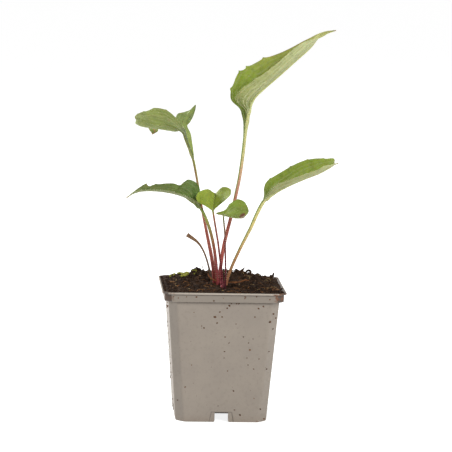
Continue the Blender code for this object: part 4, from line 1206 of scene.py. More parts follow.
tall_leaf = measured_leaf(
    stalk=[(-1.6, 4.7, 87.0), (-1.6, 4.4, 95.9), (-1.5, 4.2, 101.1), (-0.3, 4.2, 112.3),
            (1.0, 4.5, 122.7), (3.3, 5.0, 133.7), (6.1, 5.5, 145.5), (9.3, 6.5, 161.0),
            (12.1, 8.0, 175.6)],
    widths=(2.4, 2.6, 2.6), thickness=(2.5, 2.7, 2.9, 2.8, 2.8, 2.8), side=TOWARD_VIEW,
    midrib=[(14.3, 9.0, 193.2), (16.2, 10.0, 213.0), (17.3, 10.0, 220.4), (18.0, 10.0, 224.4),
            (18.9, 10.0, 228.2), (21.9, 10.5, 233.7), (28.9, 12.0, 240.4), (40.0, 14.5, 249.9),
            (51.1, 17.5, 259.7), (62.6, 20.5, 270.0), (69.6, 23.0, 278.5), (75.6, 24.4, 281.2),
            (81.9, 25.0, 282.7)],
    near=[(15.7, 8.3, 213.0), (16.6, 8.6, 220.8), (13.5, 3.5, 225.8), (7.7, -4.0, 231.4),
            (8.5, -9.0, 238.2), (20.5, -8.0, 247.7), (32.3, -4.0, 255.7), (43.4, 1.0, 265.3),
            (56.3, 9.0, 274.4), (69.5, 17.5, 277.6), (75.8, 21.5, 280.6)],
    far=[(14.3, 11.6, 212.7), (13.0, 13.0, 220.4), (11.5, 16.0, 224.7), (5.4, 19.0, 232.0),
            (8.8, 21.5, 247.3), (16.5, 22.5, 254.1), (28.7, 23.5, 260.6), (43.9, 25.5, 266.7),
            (59.7, 27.5, 275.0), (69.6, 27.0, 280.0), (75.3, 26.0, 282.2)],
    under=(0.8, -0.3, -0.5), teeth=(0.367, 0.454, 0.504, 0.588), tooth=(0.9, 1.3))
# The brightest skin: yellow-green and waxy above, pale and netted below, wine-red foot
tall_green = leaf_finish(
    "waxy_leaf_bright",
    upper=((0.0, "586B26"), (0.27, "71832A"), (0.48, "879834"), (0.8, "A0A24E"), (1.0, "9C9A5A")),
    under=((0.0, "4A521C"), (0.22, "4A5410"), (0.33, "5F6724"), (0.45, "868B4E"), (0.65, "92965F"),
           (1.0, "A9AD87")),
    net="A0A478", vein="B6BA8E",
    stem=((0.07, "94484A"), (0.1, "843E3E"), (0.13, "924545"), (0.165, "A24E48"),
          (0.25, "A3584A"), (0.31, "9A5648"), (0.36, "9E5D4E"), (0.42, "B4846C"),
          (0.46, "BD9C78"), (0.49, "B8AE76"), (0.52, "BAB87A"), (0.6, "BDBE80"), (1.0, "AEAE7C")),
    wing="6A7E2C")
grow_leaf("tall_leaf", tall_leaf, tall_green, "leaf_tall", hairs=1500, seed=1,
          wing_from=0.62, wing_top=1.8, tip_dead=0.9, edge_dead=0.7)

# %% [markdown]
# The right leaf arches the same way, lower down. Its blade is darker, and its tip has withered to
# a thin brown spike.

# %% The right leaf
right_leaf = measured_leaf(
    stalk=[(2.6, 2.2, 87.0), (3.6, 1.5, 96.4), (4.8, 1.0, 102.4), (7.1, -0.5, 109.3),
            (10.1, -2.5, 117.1), (13.4, -4.5, 125.0), (16.8, -6.5, 132.6), (20.1, -8.5, 140.0),
            (24.1, -10.8, 150.4)],
    widths=(2.0, 2.1, 2.3), thickness=(2.3, 2.3, 2.4, 2.5, 2.8, 3.0), side=TOWARD_VIEW,
    midrib=[(27.8, -12.5, 158.3), (30.9, -13.8, 162.8), (34.6, -15.0, 165.9),
            (39.9, -17.0, 169.5), (48.4, -19.5, 174.1), (57.5, -22.0, 178.3),
            (66.6, -24.5, 182.2), (73.5, -26.5, 186.1), (77.0, -27.5, 188.5),
            (78.1, -27.7, 188.9), (80.8, -28.0, 189.8)],
    near=[(30.5, -17.0, 164.5), (32.9, -23.0, 169.1), (37.3, -28.0, 174.0), (45.8, -32.0, 177.7),
            (54.8, -34.5, 181.9), (64.0, -36.0, 185.4), (70.6, -34.0, 188.5),
            (76.1, -29.5, 188.9), (78.0, -28.2, 189.2)],
    far=[(28.8, -11.0, 164.0), (29.1, -9.0, 169.5), (32.5, -8.5, 174.9), (44.7, -11.0, 183.2),
            (53.6, -13.5, 188.5), (63.4, -17.0, 191.7), (72.0, -21.5, 192.4),
            (77.6, -25.5, 193.0), (77.9, -27.3, 189.6)],
    under=(0.4, -0.3, -0.8), teeth=(0.31, 0.43, 0.56, 0.68), tooth=(0.5, 0.5))
# A clear green with a soft sheen, on a stalk that turns from tan to straw
right_green = leaf_finish(
    "waxy_leaf_green",
    upper=((0.0, "70822B"), (0.4, "7E912E"), (1.0, "9BAF36")),
    under=((0.0, "7B8148"), (0.5, "8A8E54"), (1.0, "96996A")),
    net="9EA176", vein="A5A87C",
    stem=((0.08, "9A6448"), (0.12, "A8724F"), (0.167, "B28459"), (0.24, "BC9064"), (0.32, "C2AA70"),
          (0.4, "C4B474"), (0.47, "BFB97A"), (0.6, "B2B480"), (1.0, "A9A678")),
    wing="6A7E2C")
grow_leaf("right_leaf", right_leaf, right_green, "leaf_right", hairs=1300, seed=2,
          wing_from=0.3, wing_top=2.0, tip_dead=1.0, dead=((0.94, 0.95, 0.06),))

# %% [markdown]
# The upper left leaf has turned its underside to the front and rolled its end back on itself.
# A green wing stands up behind the middle of it, and the curled tip is brown.

# %% The upper left leaf
upper_left_leaf = measured_leaf(
    stalk=[(-4.9, 2.1, 87.0), (-4.6, 2.4, 95.4), (-4.9, 2.7, 99.8), (-5.9, 3.2, 107.9),
            (-8.0, 5.0, 119.1), (-10.6, 7.5, 131.0), (-12.9, 10.0, 141.7), (-15.5, 12.5, 154.0),
            (-18.0, 14.5, 167.8), (-19.8, 15.5, 177.3)],
    widths=(1.9, 1.8, 1.6), thickness=(3.2, 3.3, 3.2, 2.8, 2.3, 1.9, 1.9, 2.0), side=TOWARD_VIEW,
    midrib=[(-21.1, 16.0, 183.5), (-23.2, 17.0, 191.5), (-25.2, 17.4, 196.8),
            (-27.3, 17.8, 201.6), (-28.8, 18.0, 205.7), (-30.8, 18.0, 207.4),
            (-31.3, 18.0, 207.7), (-31.6, 18.0, 207.9), (-32.2, 18.0, 208.3),
            (-33.0, 18.0, 208.7), (-33.8, 18.0, 209.1), (-37.9, 17.5, 210.7),
            (-43.1, 17.0, 211.9), (-49.7, 16.0, 211.9), (-57.1, 15.5, 214.0),
            (-62.1, 17.0, 216.2), (-63.5, 24.0, 214.9), (-59.5, 32.0, 211.7),
            (-52.6, 36.0, 208.4), (-50.3, 36.0, 204.9), (-51.5, 35.0, 202.8)],
    near=[(-22.0, 15.5, 190.5), (-25.0, 15.0, 197.8), (-26.9, 14.0, 203.9), (-28.0, 11.5, 208.6),
            (-29.3, 10.4, 210.2), (-29.7, 10.0, 210.7), (-30.0, 9.8, 211.0), (-30.4, 9.4, 211.4),
            (-30.8, 9.0, 211.9), (-31.5, 8.5, 212.7), (-36.7, 6.0, 218.5), (-43.0, 5.0, 223.2),
            (-50.0, 5.0, 224.7), (-57.2, 6.0, 222.2), (-62.1, 10.0, 220.6), (-65.3, 18.0, 217.0),
            (-62.6, 28.0, 213.1), (-56.0, 34.0, 208.9), (-53.1, 34.0, 205.1)],
    far=[(-21.7, 18.5, 191.0), (-22.6, 20.5, 197.8), (-23.9, 21.0, 205.1), (-26.4, 21.3, 210.6),
            (-25.5, 22.5, 215.7), (-22.0, 24.0, 220.3), (-20.4, 25.0, 226.0),
            (-24.6, 26.5, 222.0), (-28.6, 28.0, 220.2), (-34.0, 29.0, 217.5),
            (-29.6, 32.0, 207.2), (-36.5, 32.0, 206.9), (-44.0, 30.0, 208.3),
            (-53.6, 28.0, 208.5), (-60.1, 28.0, 209.3), (-64.0, 30.0, 211.1),
            (-59.7, 34.0, 209.2), (-49.6, 37.0, 208.0), (-47.3, 37.0, 205.1)],
    under=(-0.5, -0.3, -0.8), bows=(0.05, 0.14), teeth=(0.600, 0.664, 0.720, 0.768),
    tooth=(0.7, 0.7))
# A turned leaf shows its duller, greyer side; its stalk is pinkish red at the foot
upper_left_green = leaf_finish(
    "waxy_leaf_turned",
    upper=((0.0, "808E40"), (0.2, "87974F"), (0.4, "909F5C"), (0.75, "889664"), (1.0, "7E8650")),
    under=((0.0, "627446"), (0.2, "647650"), (0.33, "6C7B49"), (0.5, "76823F"), (0.75, "7D8943"),
           (1.0, "7A8842")),
    net="8A915C", vein="949962",
    stem=((0.07, "BC5050"), (0.11, "B45452"), (0.15, "BC665E"), (0.2, "B96A60"), (0.28, "B26455"),
          (0.33, "A5624E"), (0.4, "957350"), (0.46, "836A40"), (0.52, "7E7F42"),
          (0.65, "808A48"), (1.0, "828C4C")),
    wing="86953A", dead="96784E")
grow_leaf("upper_left_leaf", upper_left_leaf, upper_left_green, "leaf_upper_left",
          hairs=1300, seed=3, wing_from=0.55, tip_dead=1.0,
          dead=((0.575, -0.5, 0.008), (0.96, 0.1, 0.07)))

# %% [markdown]
# The lower left leaf lies nearly flat, seen along its surface, so little more than its dark upper
# face and the thin pale strip of its near edge can be seen.

# %% The lower left leaf
lower_left_leaf = measured_leaf(
    stalk=[(-2.6, -1.5, 87.0), (-2.8, -1.5, 96.8), (-3.3, -1.5, 102.7), (-4.3, -1.8, 111.6),
            (-5.6, -2.8, 120.9), (-7.6, -4.5, 130.4), (-10.2, -6.5, 139.1), (-13.0, -8.2, 146.2)],
    widths=(1.9, 2.0, 2.2), thickness=(2.4, 2.5, 2.5, 2.5, 2.4, 2.3), side=TOWARD_VIEW,
    midrib=[(-16.5, -9.2, 152.9), (-20.5, -10.5, 157.4), (-25.2, -12.0, 160.7),
            (-28.0, -12.9, 162.5), (-31.1, -14.0, 163.7), (-34.6, -15.2, 164.8),
            (-38.4, -16.5, 165.7), (-42.7, -17.8, 166.6), (-47.1, -19.0, 167.3),
            (-51.3, -20.3, 167.7), (-55.2, -21.5, 167.9), (-58.6, -22.6, 167.8),
            (-61.7, -23.5, 167.5), (-64.4, -24.2, 166.7), (-66.8, -25.0, 165.7),
            (-71.6, -27.0, 162.4)],
    near=[(-19.2, -14.0, 158.8), (-24.8, -20.5, 162.1), (-27.6, -23.7, 163.5),
            (-30.8, -26.5, 164.9), (-34.7, -28.2, 166.4), (-38.9, -29.5, 167.8),
            (-43.4, -30.6, 168.5), (-47.8, -31.5, 168.8), (-51.7, -32.2, 169.0),
            (-55.3, -32.5, 169.0), (-58.8, -32.5, 168.7), (-62.0, -32.0, 168.1),
            (-64.6, -30.9, 167.0), (-66.9, -29.5, 165.8)],
    far=[(-16.6, -5.0, 157.5), (-17.4, -2.5, 166.0), (-20.4, -3.5, 171.4), (-25.9, -4.5, 173.7),
            (-29.1, -5.8, 172.1), (-32.6, -7.0, 169.7), (-37.0, -8.2, 170.9),
            (-43.1, -9.5, 170.8), (-47.7, -11.2, 170.4), (-51.8, -13.0, 170.5),
            (-54.9, -14.8, 169.6), (-58.0, -16.5, 171.2), (-61.5, -18.8, 169.5),
            (-64.9, -21.0, 167.3)],
    under=(-0.3, -0.3, -0.9), teeth=(0.642, 0.79), tooth=(0.4, 1.4))
# A leaf in the shade is a deeper green; its foot is dark red
lower_left_green = leaf_finish(
    "waxy_leaf_shaded",
    upper=((0.0, "486424"), (0.12, "526C28"), (0.4, "5F7032"), (0.8, "67733A"), (1.0, "656F36")),
    under=((0.0, "6A7340"), (0.5, "757D4E"), (1.0, "798150")),
    net="878D62", vein="90956C",
    stem=((0.08, "9A4646"), (0.14, "8A3C3E"), (0.19, "964A46"), (0.25, "924C40"), (0.3, "8E6040"),
          (0.36, "8C7E46"), (0.44, "858842"), (0.5, "6E7B3A"), (0.62, "858A56"),
          (1.0, "909062")),
    wing="5C6B2C")
grow_leaf("lower_left_leaf", lower_left_leaf, lower_left_green, "leaf_lower_left",
          hairs=1200, seed=4, wing_from=0.65, tip_dead=0.6, dead=((0.771, 0.93, 0.014),))

# %% [markdown]
# Two small young leaves stand in the middle. The left one is cupped towards the back; the right
# one holds its upper face to the front and has a withered patch near its edge.

# %% The two small leaves
small_left_leaf = measured_leaf(
    stalk=[(0.9, -1.2, 87.0), (0.5, -1.2, 96.9), (0.1, -1.6, 102.8), (-1.0, -3.0, 111.8),
            (-2.1, -4.2, 118.6), (-3.6, -6.0, 128.4), (-5.2, -7.8, 136.7), (-6.8, -9.4, 145.0)],
    widths=(1.6, 1.5, 1.4), thickness=(1.4, 1.3, 1.2), side=(-1.0, 0.0, 0.0),
    midrib=[(-8.1, -11.0, 152.1), (-7.9, -10.5, 153.9), (-7.7, -9.7, 155.8), (-7.4, -8.4, 157.7),
            (-7.1, -6.6, 159.6), (-6.6, -4.2, 161.5), (-6.1, -1.5, 163.6)],
    near=[(-14.2, -16.5, 156.1), (-19.5, -20.0, 159.3), (-20.9, -19.5, 163.2),
            (-18.0, -15.0, 166.4), (-11.8, -7.5, 167.3)],
    far=[(-3.9, -14.0, 156.6), (0.7, -15.0, 160.4), (4.5, -13.0, 164.6), (4.0, -9.0, 168.1),
            (-1.1, -4.5, 168.6)],
    under=(0.0, 0.7, -0.7), bows=(0.03, 0.03), teeth=(0.30, 0.46, 0.62), tooth=(0.4, 0.4))
# A young blade is thin and evenly green, on a dark crimson stalk
small_left_green = leaf_finish(
    "waxy_leaf_young",
    upper=((0.0, "7C8B2E"), (0.5, "849432"), (1.0, "8A963C")),
    under=((0.0, "76852C"), (0.5, "7A882E"), (1.0, "818C38")),
    net="6C7A2F", vein="8F9658",
    stem=((0.1, "702732"), (0.25, "8A3C3C"), (0.38, "8C4C3C"), (0.46, "8A5A3C"), (0.5, "7E8A36"),
          (1.0, "8A9448")),
    wing="767A38")
grow_leaf("small_left_leaf", small_left_leaf, small_left_green, "leaf_small_left",
          hairs=700, seed=5, wing_top=0.0, tip_dead=0.5, puff=0.2, ripple=0.2)

small_right_leaf = measured_leaf(
    stalk=[(2.0, -9.0, 87.0), (2.2, -8.6, 93.4), (2.2, -8.6, 99.4), (2.2, -9.0, 108.3),
            (1.6, -10.0, 123.1), (1.1, -11.0, 133.6), (0.1, -12.0, 142.5)],
    widths=(1.1, 1.1, 1.0), thickness=(1.4, 1.3, 1.2), side=TOWARD_VIEW,
    midrib=[(-0.6, -13.0, 149.3), (0.2, -13.5, 149.3), (2.0, -14.7, 149.3), (4.5, -16.3, 149.2),
            (7.0, -18.0, 149.2), (9.7, -19.8, 149.4), (12.1, -21.5, 149.4), (14.4, -23.0, 149.2)],
    near=[(-0.6, -16.5, 149.2), (1.3, -21.0, 149.3), (3.9, -25.0, 149.3), (7.0, -28.0, 149.2),
            (9.9, -28.5, 149.1), (12.5, -27.0, 148.9)],
    far=[(-5.8, -10.5, 150.2), (0.9, -8.0, 152.3), (4.9, -6.5, 157.0), (10.6, -7.5, 160.1),
            (15.2, -11.0, 158.2), (17.6, -17.0, 152.9)],
    under=(0.2, 0.3, -0.9), bows=(0.07, 0.07), teeth=(0.40, 0.56, 0.72), tooth=(0.5, 0.5))
# The same young green, with a foot almost black-red and a brown patch
small_right_green = leaf_finish(
    "waxy_leaf_small",
    upper=((0.0, "75842C"), (0.5, "7B9130"), (1.0, "7F8C3A")),
    under=((0.0, "80874A"), (1.0, "8B925C")),
    net="8D9460", vein="9A9F68",
    stem=((0.1, "44141F"), (0.25, "621B28"), (0.34, "703330"), (0.43, "776636"), (0.5, "7E8A36"),
          (1.0, "949A58")),
    wing="767A38", dead="6C4634")
grow_leaf("small_right_leaf", small_right_leaf, small_right_green, "leaf_small_right",
          hairs=700, seed=6, wing_from=0.7, tip_dead=0.5, puff=0.2, ripple=0.2,
          dead=((0.86, 0.12, 0.12), (0.8, -0.3, 0.06), (0.87, -0.6, 0.16)))

# %% [markdown]
# The seventh leaf has died: only its stalk is left, dry, brown, grooved and bent over, with a
# torn end. It has no blade, so the same drawing serves with a stalk alone.

# %% The withered stalk
withered_stalk = measured_leaf(
    stalk=[(-8.1, 0.4, 87.0), (-7.4, 0.8, 96.1), (-7.5, 1.0, 101.4), (-9.0, 0.5, 106.8),
            (-10.2, 0.0, 111.3), (-11.6, -0.5, 115.7), (-13.4, -1.0, 120.2), (-15.5, -2.0, 124.0),
            (-17.6, -3.0, 126.9), (-20.3, -4.0, 129.4), (-23.3, -5.0, 131.5),
            (-26.3, -6.0, 133.5)],
    widths=(1.8, 1.8, 1.4, 1.3, 1.3, 1.4, 1.8, 2.5, 3.2), thickness=(1.2, 1.2, 1.0, 0.8, 0.7),
    side=(0.4, 0.0, 0.9))
# A dead stalk has lost its wax: matt, streaked along, and darker towards its foot
dry_stem, tree, shader = new_material("withered_stem", 0.85)
flat = add(tree, "Attribute", {"attribute_name": "flat"}).outputs["Vector"]
stretch = add(tree, "Mapping", {3: (4.0, 0.5, 1.0)}, {0: flat}).outputs[0]
streaks = add(tree, "TexNoise", {"Scale": 0.9, "Detail": 4.0}, {0: stretch}).outputs[0]
colour = add(tree, "ValToRGB", {"stops": ((0.3, "3A271B"), (0.5, "634730"), (0.7, "8E714E"))},
             {0: streaks}).outputs[0]
height = add(tree, "SeparateXYZ", None, {0: add(tree, "TexCoord").outputs["Object"]}).outputs[2]
# The stalk's colour darkens towards its foot
darker_near_foot = add(tree, "MapRange", {1: 122.0 * MM, 2: 104.0 * MM, 4: 0.7}, {0: height}).outputs[0]
colour = add(tree, "Mix", {**RGBA, 7: "241812"}, {0: darker_near_foot, 6: colour}).outputs[2]
tree.links.new(colour, shader.inputs["Base Color"])
bump = add(tree, "Bump", {"Strength": 0.5, "Distance": 0.2 * MM}, {"Height": streaks})
tree.links.new(bump.outputs[0], shader.inputs["Normal"])
grow_leaf("withered_stalk", withered_stalk, dry_stem, "dry_stalk", hairs=0, seed=7)

# %% [markdown]
# ## The peat
#
# The pot is filled with moist peat, with bits of bark and a web of fine dead roots. Seen from the
# side it is a dark, broken skyline. A displaced plane alone would look like melted chocolate, so
# the ground is a fine grid that only carries the slow shape, and the crumbs, chips and fibres are
# real pieces lying on it. The height of the ground is one function, used by everything on it.

# %% The height of the ground
PEAT_EDGE = 95.6
MOUND = (6.8, 0.0, 27.0, 36.0, 19.0)
CLUMP = (2.2, -18.0, 27.0, 3.7, 3.7)
DIP = (-1.2, 1.0, -9.0, 7.7, 7.7)
LUMPS = ((1.1, 9.0), (0.7, 3.4))
CRUMBLE = ((0.55, 1.9), (0.28, 0.9))
PEAT_HALF = BAND_HALF - WALL - 0.3


def hill(x, y, shape):
    """A round hill: height, place in x and y, and its reach each way."""
    high, x0, y0, wide, deep = shape
    return high * math.exp(-((x - x0) / wide) ** 2 - ((y - y0) / deep) ** 2)


def ground(x, y, fine=True):
    """Height of the peat: level with the rim, with a low mound behind and lumps all over."""
    edge = max(abs(x), abs(y)) / (BAND_HALF - WALL)
    inward = 1.0 - ease(edge, 0.7, 1.05)
    lumps = sum(high * noise.noise(Vector((x / long, y / long, long))) for high, long in LUMPS)
    crumbs = sum(high * noise.noise(Vector((x / long, y / long, 7.0 + long)))
                 for high, long in CRUMBLE) if fine else 0.0
    return float(PEAT_EDGE + (hill(x, y, MOUND) + hill(x, y, CLUMP)) * inward + hill(x, y, DIP)
                 + (lumps + crumbs) * (1.0 - 0.6 * ease(edge, 0.75, 1.0)))


print("peat", round(ground(0.0, 27.0), 1), "mm up at the mound behind,", PEAT_EDGE, "mm at the edge")

# %% Model the peat
GROUND_CELLS = 110

peat_bm = bmesh.new()
bmesh.ops.create_grid(peat_bm, x_segments=GROUND_CELLS, y_segments=GROUND_CELLS, size=PEAT_HALF)
corner = PEAT_HALF - 0.5 * (LIP_CORNER - 0.5)
for turn in QUARTERS:
    out = turn @ Vector((1.0, 1.0, 0.0))
    bmesh.ops.bisect_plane(peat_bm, geom=peat_bm.verts[:] + peat_bm.edges[:] + peat_bm.faces[:],
                           plane_co=out * corner, plane_no=out, clear_outer=True)
for vert in peat_bm.verts:
    vert.co.z = ground(vert.co.x, vert.co.y)
for level in (BAND_FOOT + 0.6, BAND_FOOT - 1.0, FLOOR_TOP + 0.3):
    inside = PEAT_HALF if level > BAND_FOOT else wall_half(level) - WALL - 0.3
    rim = [edge for edge in peat_bm.edges if edge.is_boundary]
    grown = bmesh.ops.extrude_edge_only(peat_bm, edges=rim)
    ring = [item for item in grown["geom"] if isinstance(item, bmesh.types.BMVert)]
    widest = max(abs(vert.co.x) for vert in ring)
    for vert in ring:
        vert.co = Vector((vert.co.x * inside / widest, vert.co.y * inside / widest, level))
bmesh.ops.edgeloop_fill(peat_bm, edges=[edge for edge in peat_bm.edges if edge.is_boundary])
point_outwards(peat_bm)

# Moist peat is nearly black and has no shine, with bits of fox-brown and straw
moist_peat, tree, shader = new_material("moist_peat", 0.95, Specular_IOR_Level=0.1)
place = add(tree, "TexCoord").outputs["Object"]
clods = add(tree, "TexNoise", {"Scale": PER_MM / 5.0, "Detail": 5.0, "Roughness": 0.7},
            {0: place}).outputs[0]
colour = add(tree, "ValToRGB", {"stops": ((0.3, "19110B"), (0.5, "2E2016"), (0.68, "443122"))},
             {0: clods}).outputs[0]
bits = add(tree, "TexVoronoi", {"Scale": PER_MM / 1.1}, {0: place})
pick = add(tree, "SeparateColor", None, {0: bits.outputs["Color"]}).outputs[0]
pick = add(tree, "ValToRGB", {"stops": ((0.0, "231A14"), (0.6, "2C211A"), (0.85, "443021"),
                                        (0.97, "6A5236"))}, {0: pick}).outputs[0]
near = add(tree, "MapRange", {**SMOOTH, 1: 0.45, 2: 0.2, 4: 0.7},
           {0: bits.outputs["Distance"]}).outputs[0]
colour = add(tree, "Mix", RGBA, {0: near, 6: colour, 7: pick}).outputs[2]
tree.links.new(colour, shader.inputs["Base Color"])
fine = add(tree, "TexNoise", {"Scale": PER_MM / 0.8, "Detail": 5.0, "Roughness": 0.75},
           {0: place}).outputs[0]
bump = add(tree, "Bump", {"Strength": 0.9, "Distance": 0.5 * MM}, {"Height": fine})
tree.links.new(bump.outputs[0], shader.inputs["Normal"])
finish_piece(peat_bm, "peat_ground", moist_peat, ("peat",), 70.0)

# %% [markdown]
# Crumbs are rough little balls of a few faces, squashed and turned at random. They are made in
# small batches, since adding to a large bmesh gets slow.

# %% Crumbs of peat
CRUMBS = 1500
CRUMB_BATCH = 60
CRUMB_SQUASH = 0.7
CRUMB_REACH = PEAT_HALF - 1.2
CRUMB_CORNER = 2.0 * PEAT_HALF - LIP_CORNER - 1.0

crumb_bm = bmesh.new()
chooser = random.Random(11)
for made in range(0, CRUMBS, CRUMB_BATCH):
    batch = bmesh.new()
    for _ in range(CRUMB_BATCH):
        x = y = PEAT_HALF
        while abs(x) + abs(y) > CRUMB_CORNER:
            x, y = (chooser.uniform(-1.0, 1.0) * CRUMB_REACH for _ in range(2))
        size = chooser.uniform(0.8, 2.4) * (0.6 if chooser.random() < 0.6 else 1.0)
        turns = [(chooser.uniform(0.0, 6.3), "Z"), (chooser.uniform(-0.6, 0.6), "X")]
        squashed = (size, size * chooser.uniform(0.6, 1.0), size * CRUMB_SQUASH)
        seat = set_down((x, y, ground(x, y) + 0.25 * size * CRUMB_SQUASH), turns, squashed)
        rough_ball(batch, 1, [(0.45, 3.1, (x, y, made))], seat)
    part = bpy.data.meshes.new("crumb_batch")
    batch.to_mesh(part)
    batch.free()
    crumb_bm.from_mesh(part)
    bpy.data.meshes.remove(part)
# Peat crumbs are dark brown to fox-brown, dull and full of pores
crumb_finish = mottled_finish("peat_crumb", ((0.3, "19110B"), (0.45, "2E2016"), (0.6, "3B2A1C"),
                                             (0.75, "573E29")), 0.95, 1.6)
finish_piece(crumb_bm, "peat_crumbs", crumb_finish, (), 25.0)

# %% [markdown]
# Watering washes crumbs against the lip, so that the peat meets the plastic in a ragged line. They
# climb the slope inside the lip, higher the further out they lie.

# %% Crumbs along the lip
LIP_CRUMBS_A_SIDE = 95
SLOPE_INSIDE = 41.2
SLOPE_OUTSIDE = 42.9
SLOPE_FOOT = 94.4
SLOPE_RISE = 0.75

lip_bm = bmesh.new()
chooser = random.Random(43)
for quarter in range(4):
    for _ in range(LIP_CRUMBS_A_SIDE):
        size = chooser.uniform(0.8, 1.9)
        out = chooser.uniform(SLOPE_INSIDE, SLOPE_OUTSIDE)
        along = chooser.uniform(-1.0, 1.0) * (out - 0.5 * LIP_CORNER)
        z = SLOPE_FOOT + SLOPE_RISE * (out - SLOPE_INSIDE) + chooser.uniform(0.0, 0.5)
        seat = set_down((along, out, z), [], (size * 1.2, size, size * 0.8))
        rough_ball(lip_bm, 1, [(0.6, 2.5, (along, out, quarter))], QUARTERS[quarter] @ seat)
finish_piece(lip_bm, "lip_crumbs", crumb_finish, (), 25.0)

# %% [markdown]
# The skyline is made of clods, larger lumps whose tops were measured in the photograph. Moss
# grows behind on the left: cushions of tiny balls, yellow-green where the light falls on them.

# %% Clods on the skyline, and moss
CLODS = (
    # x, y, height of the top, size
    (-31.8, 38.0, 97.7, 3.0), (-28.8, 38.0, 98.8, 2.6), (-22.9, 38.0, 99.3, 3.0),
    (-20.1, 34.0, 100.9, 2.6), (-19.4, 30.0, 103.4, 3.0), (-17.3, 27.0, 104.8, 3.4),
    (-15.0, 27.0, 104.3, 3.0), (-13.2, 27.0, 102.9, 2.6), (-10.0, 27.0, 102.3, 2.4),
    (-7.4, 27.0, 103.4, 2.8), (-2.5, 27.0, 102.9, 2.2), (4.8, 27.0, 103.5, 2.6),
    (8.8, 30.0, 101.9, 2.2), (12.6, 27.0, 104.2, 2.6), (14.2, 27.0, 103.2, 2.2),
    (19.5, 29.0, 102.0, 2.4), (22.3, 30.0, 101.2, 2.6), (29.0, 34.0, 100.2, 2.4),
    (34.6, 34.0, 98.7, 2.6), (39.6, 36.0, 98.9, 2.6),
)
MOSS = (
    # x, y, reach in x and y, count
    (-27.2, 27.0, 4.3, 10.0, 110), (-34.8, 30.0, 2.0, 7.0, 16), (-18.2, 25.0, 2.0, 5.0, 10),
)

clod_bm = bmesh.new()
chooser = random.Random(41)
for x, y, top, size in CLODS:
    seat = set_down((x, y, top - 0.5 * size), [(chooser.uniform(0.0, 6.3), "Z")],
                    (size * 1.1, size, size))
    rough_ball(clod_bm, 3, [(0.55, 2.4, (x, y, 0.0)), (0.3, 6.5, (y, x, 5.0))], seat)
finish_piece(clod_bm, "peat_clods", moist_peat)

moss_bm = bmesh.new()
for x, y, wide, deep, count in MOSS:
    for _ in range(count):
        turn, out = chooser.uniform(0.0, 6.3), math.sqrt(chooser.random())
        spot = Vector((x + wide * out * math.cos(turn), y + deep * out * math.sin(turn), 0.0))
        size = chooser.uniform(0.8, 1.7)
        spot.z = ground(spot.x, spot.y) + 0.4 * size
        bmesh.ops.create_icosphere(moss_bm, subdivisions=1, radius=0.5 * size,
                                   matrix=Matrix.Translation(spot))
# Moss is soft and dull, from olive to a bright yellow-green
moss_finish = mottled_finish("moss_cushion", ((0.3, "66682C"), (0.5, "92933F"), (0.7, "B4B262")),
                             0.9, 1.4)
finish_piece(moss_bm, "moss", moss_finish)

# %% [markdown]
# Bark and wood chips are flat splinters: a cube, stretched and turned, with its corners pulled
# about. A few lie where the photograph shows them; the rest are scattered. Blender starts its
# vector noise from the clock, so the pulled corners differ a little each time the script runs.

# %% Chips of bark
CHIPS = 50
SCATTER_HALF = 39.0
SCATTER_CORNER = 76.0
NAMED_CHIPS = (
    # x, y, length, turn
    (18.0, -5.0, 3.4, 0.3), (37.0, -20.0, 3.0, 1.2), (39.5, -20.0, 3.6, 2.0),
    (26.8, -36.0, 2.2, 0.6), (39.4, 36.0, 2.4, 0.2), (17.5, 27.0, 3.6, 1.5),
)

chooser = random.Random(12)
places = list(NAMED_CHIPS)
while len(places) < CHIPS:
    x, y = (chooser.uniform(-SCATTER_HALF, SCATTER_HALF) for _ in range(2))
    if abs(x) + abs(y) < SCATTER_CORNER:
        places.append((x, y, chooser.uniform(1.2, 3.2), chooser.uniform(0.0, 3.1)))
chip_bm = bmesh.new()
for x, y, length, turn in places:
    turns = [(turn, "Z"), (chooser.uniform(-0.5, 0.5), "X"), (chooser.uniform(-0.4, 0.4), "Y")]
    splinter = (length, length * chooser.uniform(0.25, 0.6), chooser.uniform(0.35, 0.7))
    cube = bmesh.ops.create_cube(chip_bm, size=1.0)["verts"]
    for vert in cube:
        vert.co += noise.noise_vector(vert.co * 2.3 + Vector((x, y, 0.0))) * 0.28
    bmesh.ops.transform(chip_bm, matrix=set_down((x, y, ground(x, y) + 0.35), turns, splinter),
                        verts=cube)
# Bark is matt, from a dark red-brown to the tan of a broken face
bark_finish = mottled_finish("bark_chip", ((0.3, "33221A"), (0.5, "593D29"), (0.7, "80603E")),
                             0.85, 3.0)
finish_piece(chip_bm, "bark_chips", bark_finish, (), 25.0)

# %% [markdown]
# Fibres are dead roots and straw. Each is a short wandering walk over the ground, turned into a
# tapered thread. Three colours keep them from reading as one net.

# %% Fibres
FIBRES = (
    # name, count, thickness, length, lift, seed, tints
    ("dark_roots", 200, 0.45, (4.0, 12.0), (0.1, 1.2), 21, ((0.3, "1A130F"), (0.7, "3A2A1F"))),
    ("rusty_roots", 44, 0.32, (4.0, 11.0), (0.1, 1.5), 22, ((0.3, "543521"), (0.7, "86592F"))),
    ("straw_bits", 26, 0.4, (3.0, 9.0), (0.1, 1.2), 23, ((0.3, "6E5A3C"), (0.7, "A08A62"))),
)
FIBRE_STEP = 1.1
FIBRE_BEND = 0.5
FIBRE_REACH = PEAT_HALF - 1.0
FIBRE_CORNER = 2.0 * PEAT_HALF - LIP_CORNER - 0.8


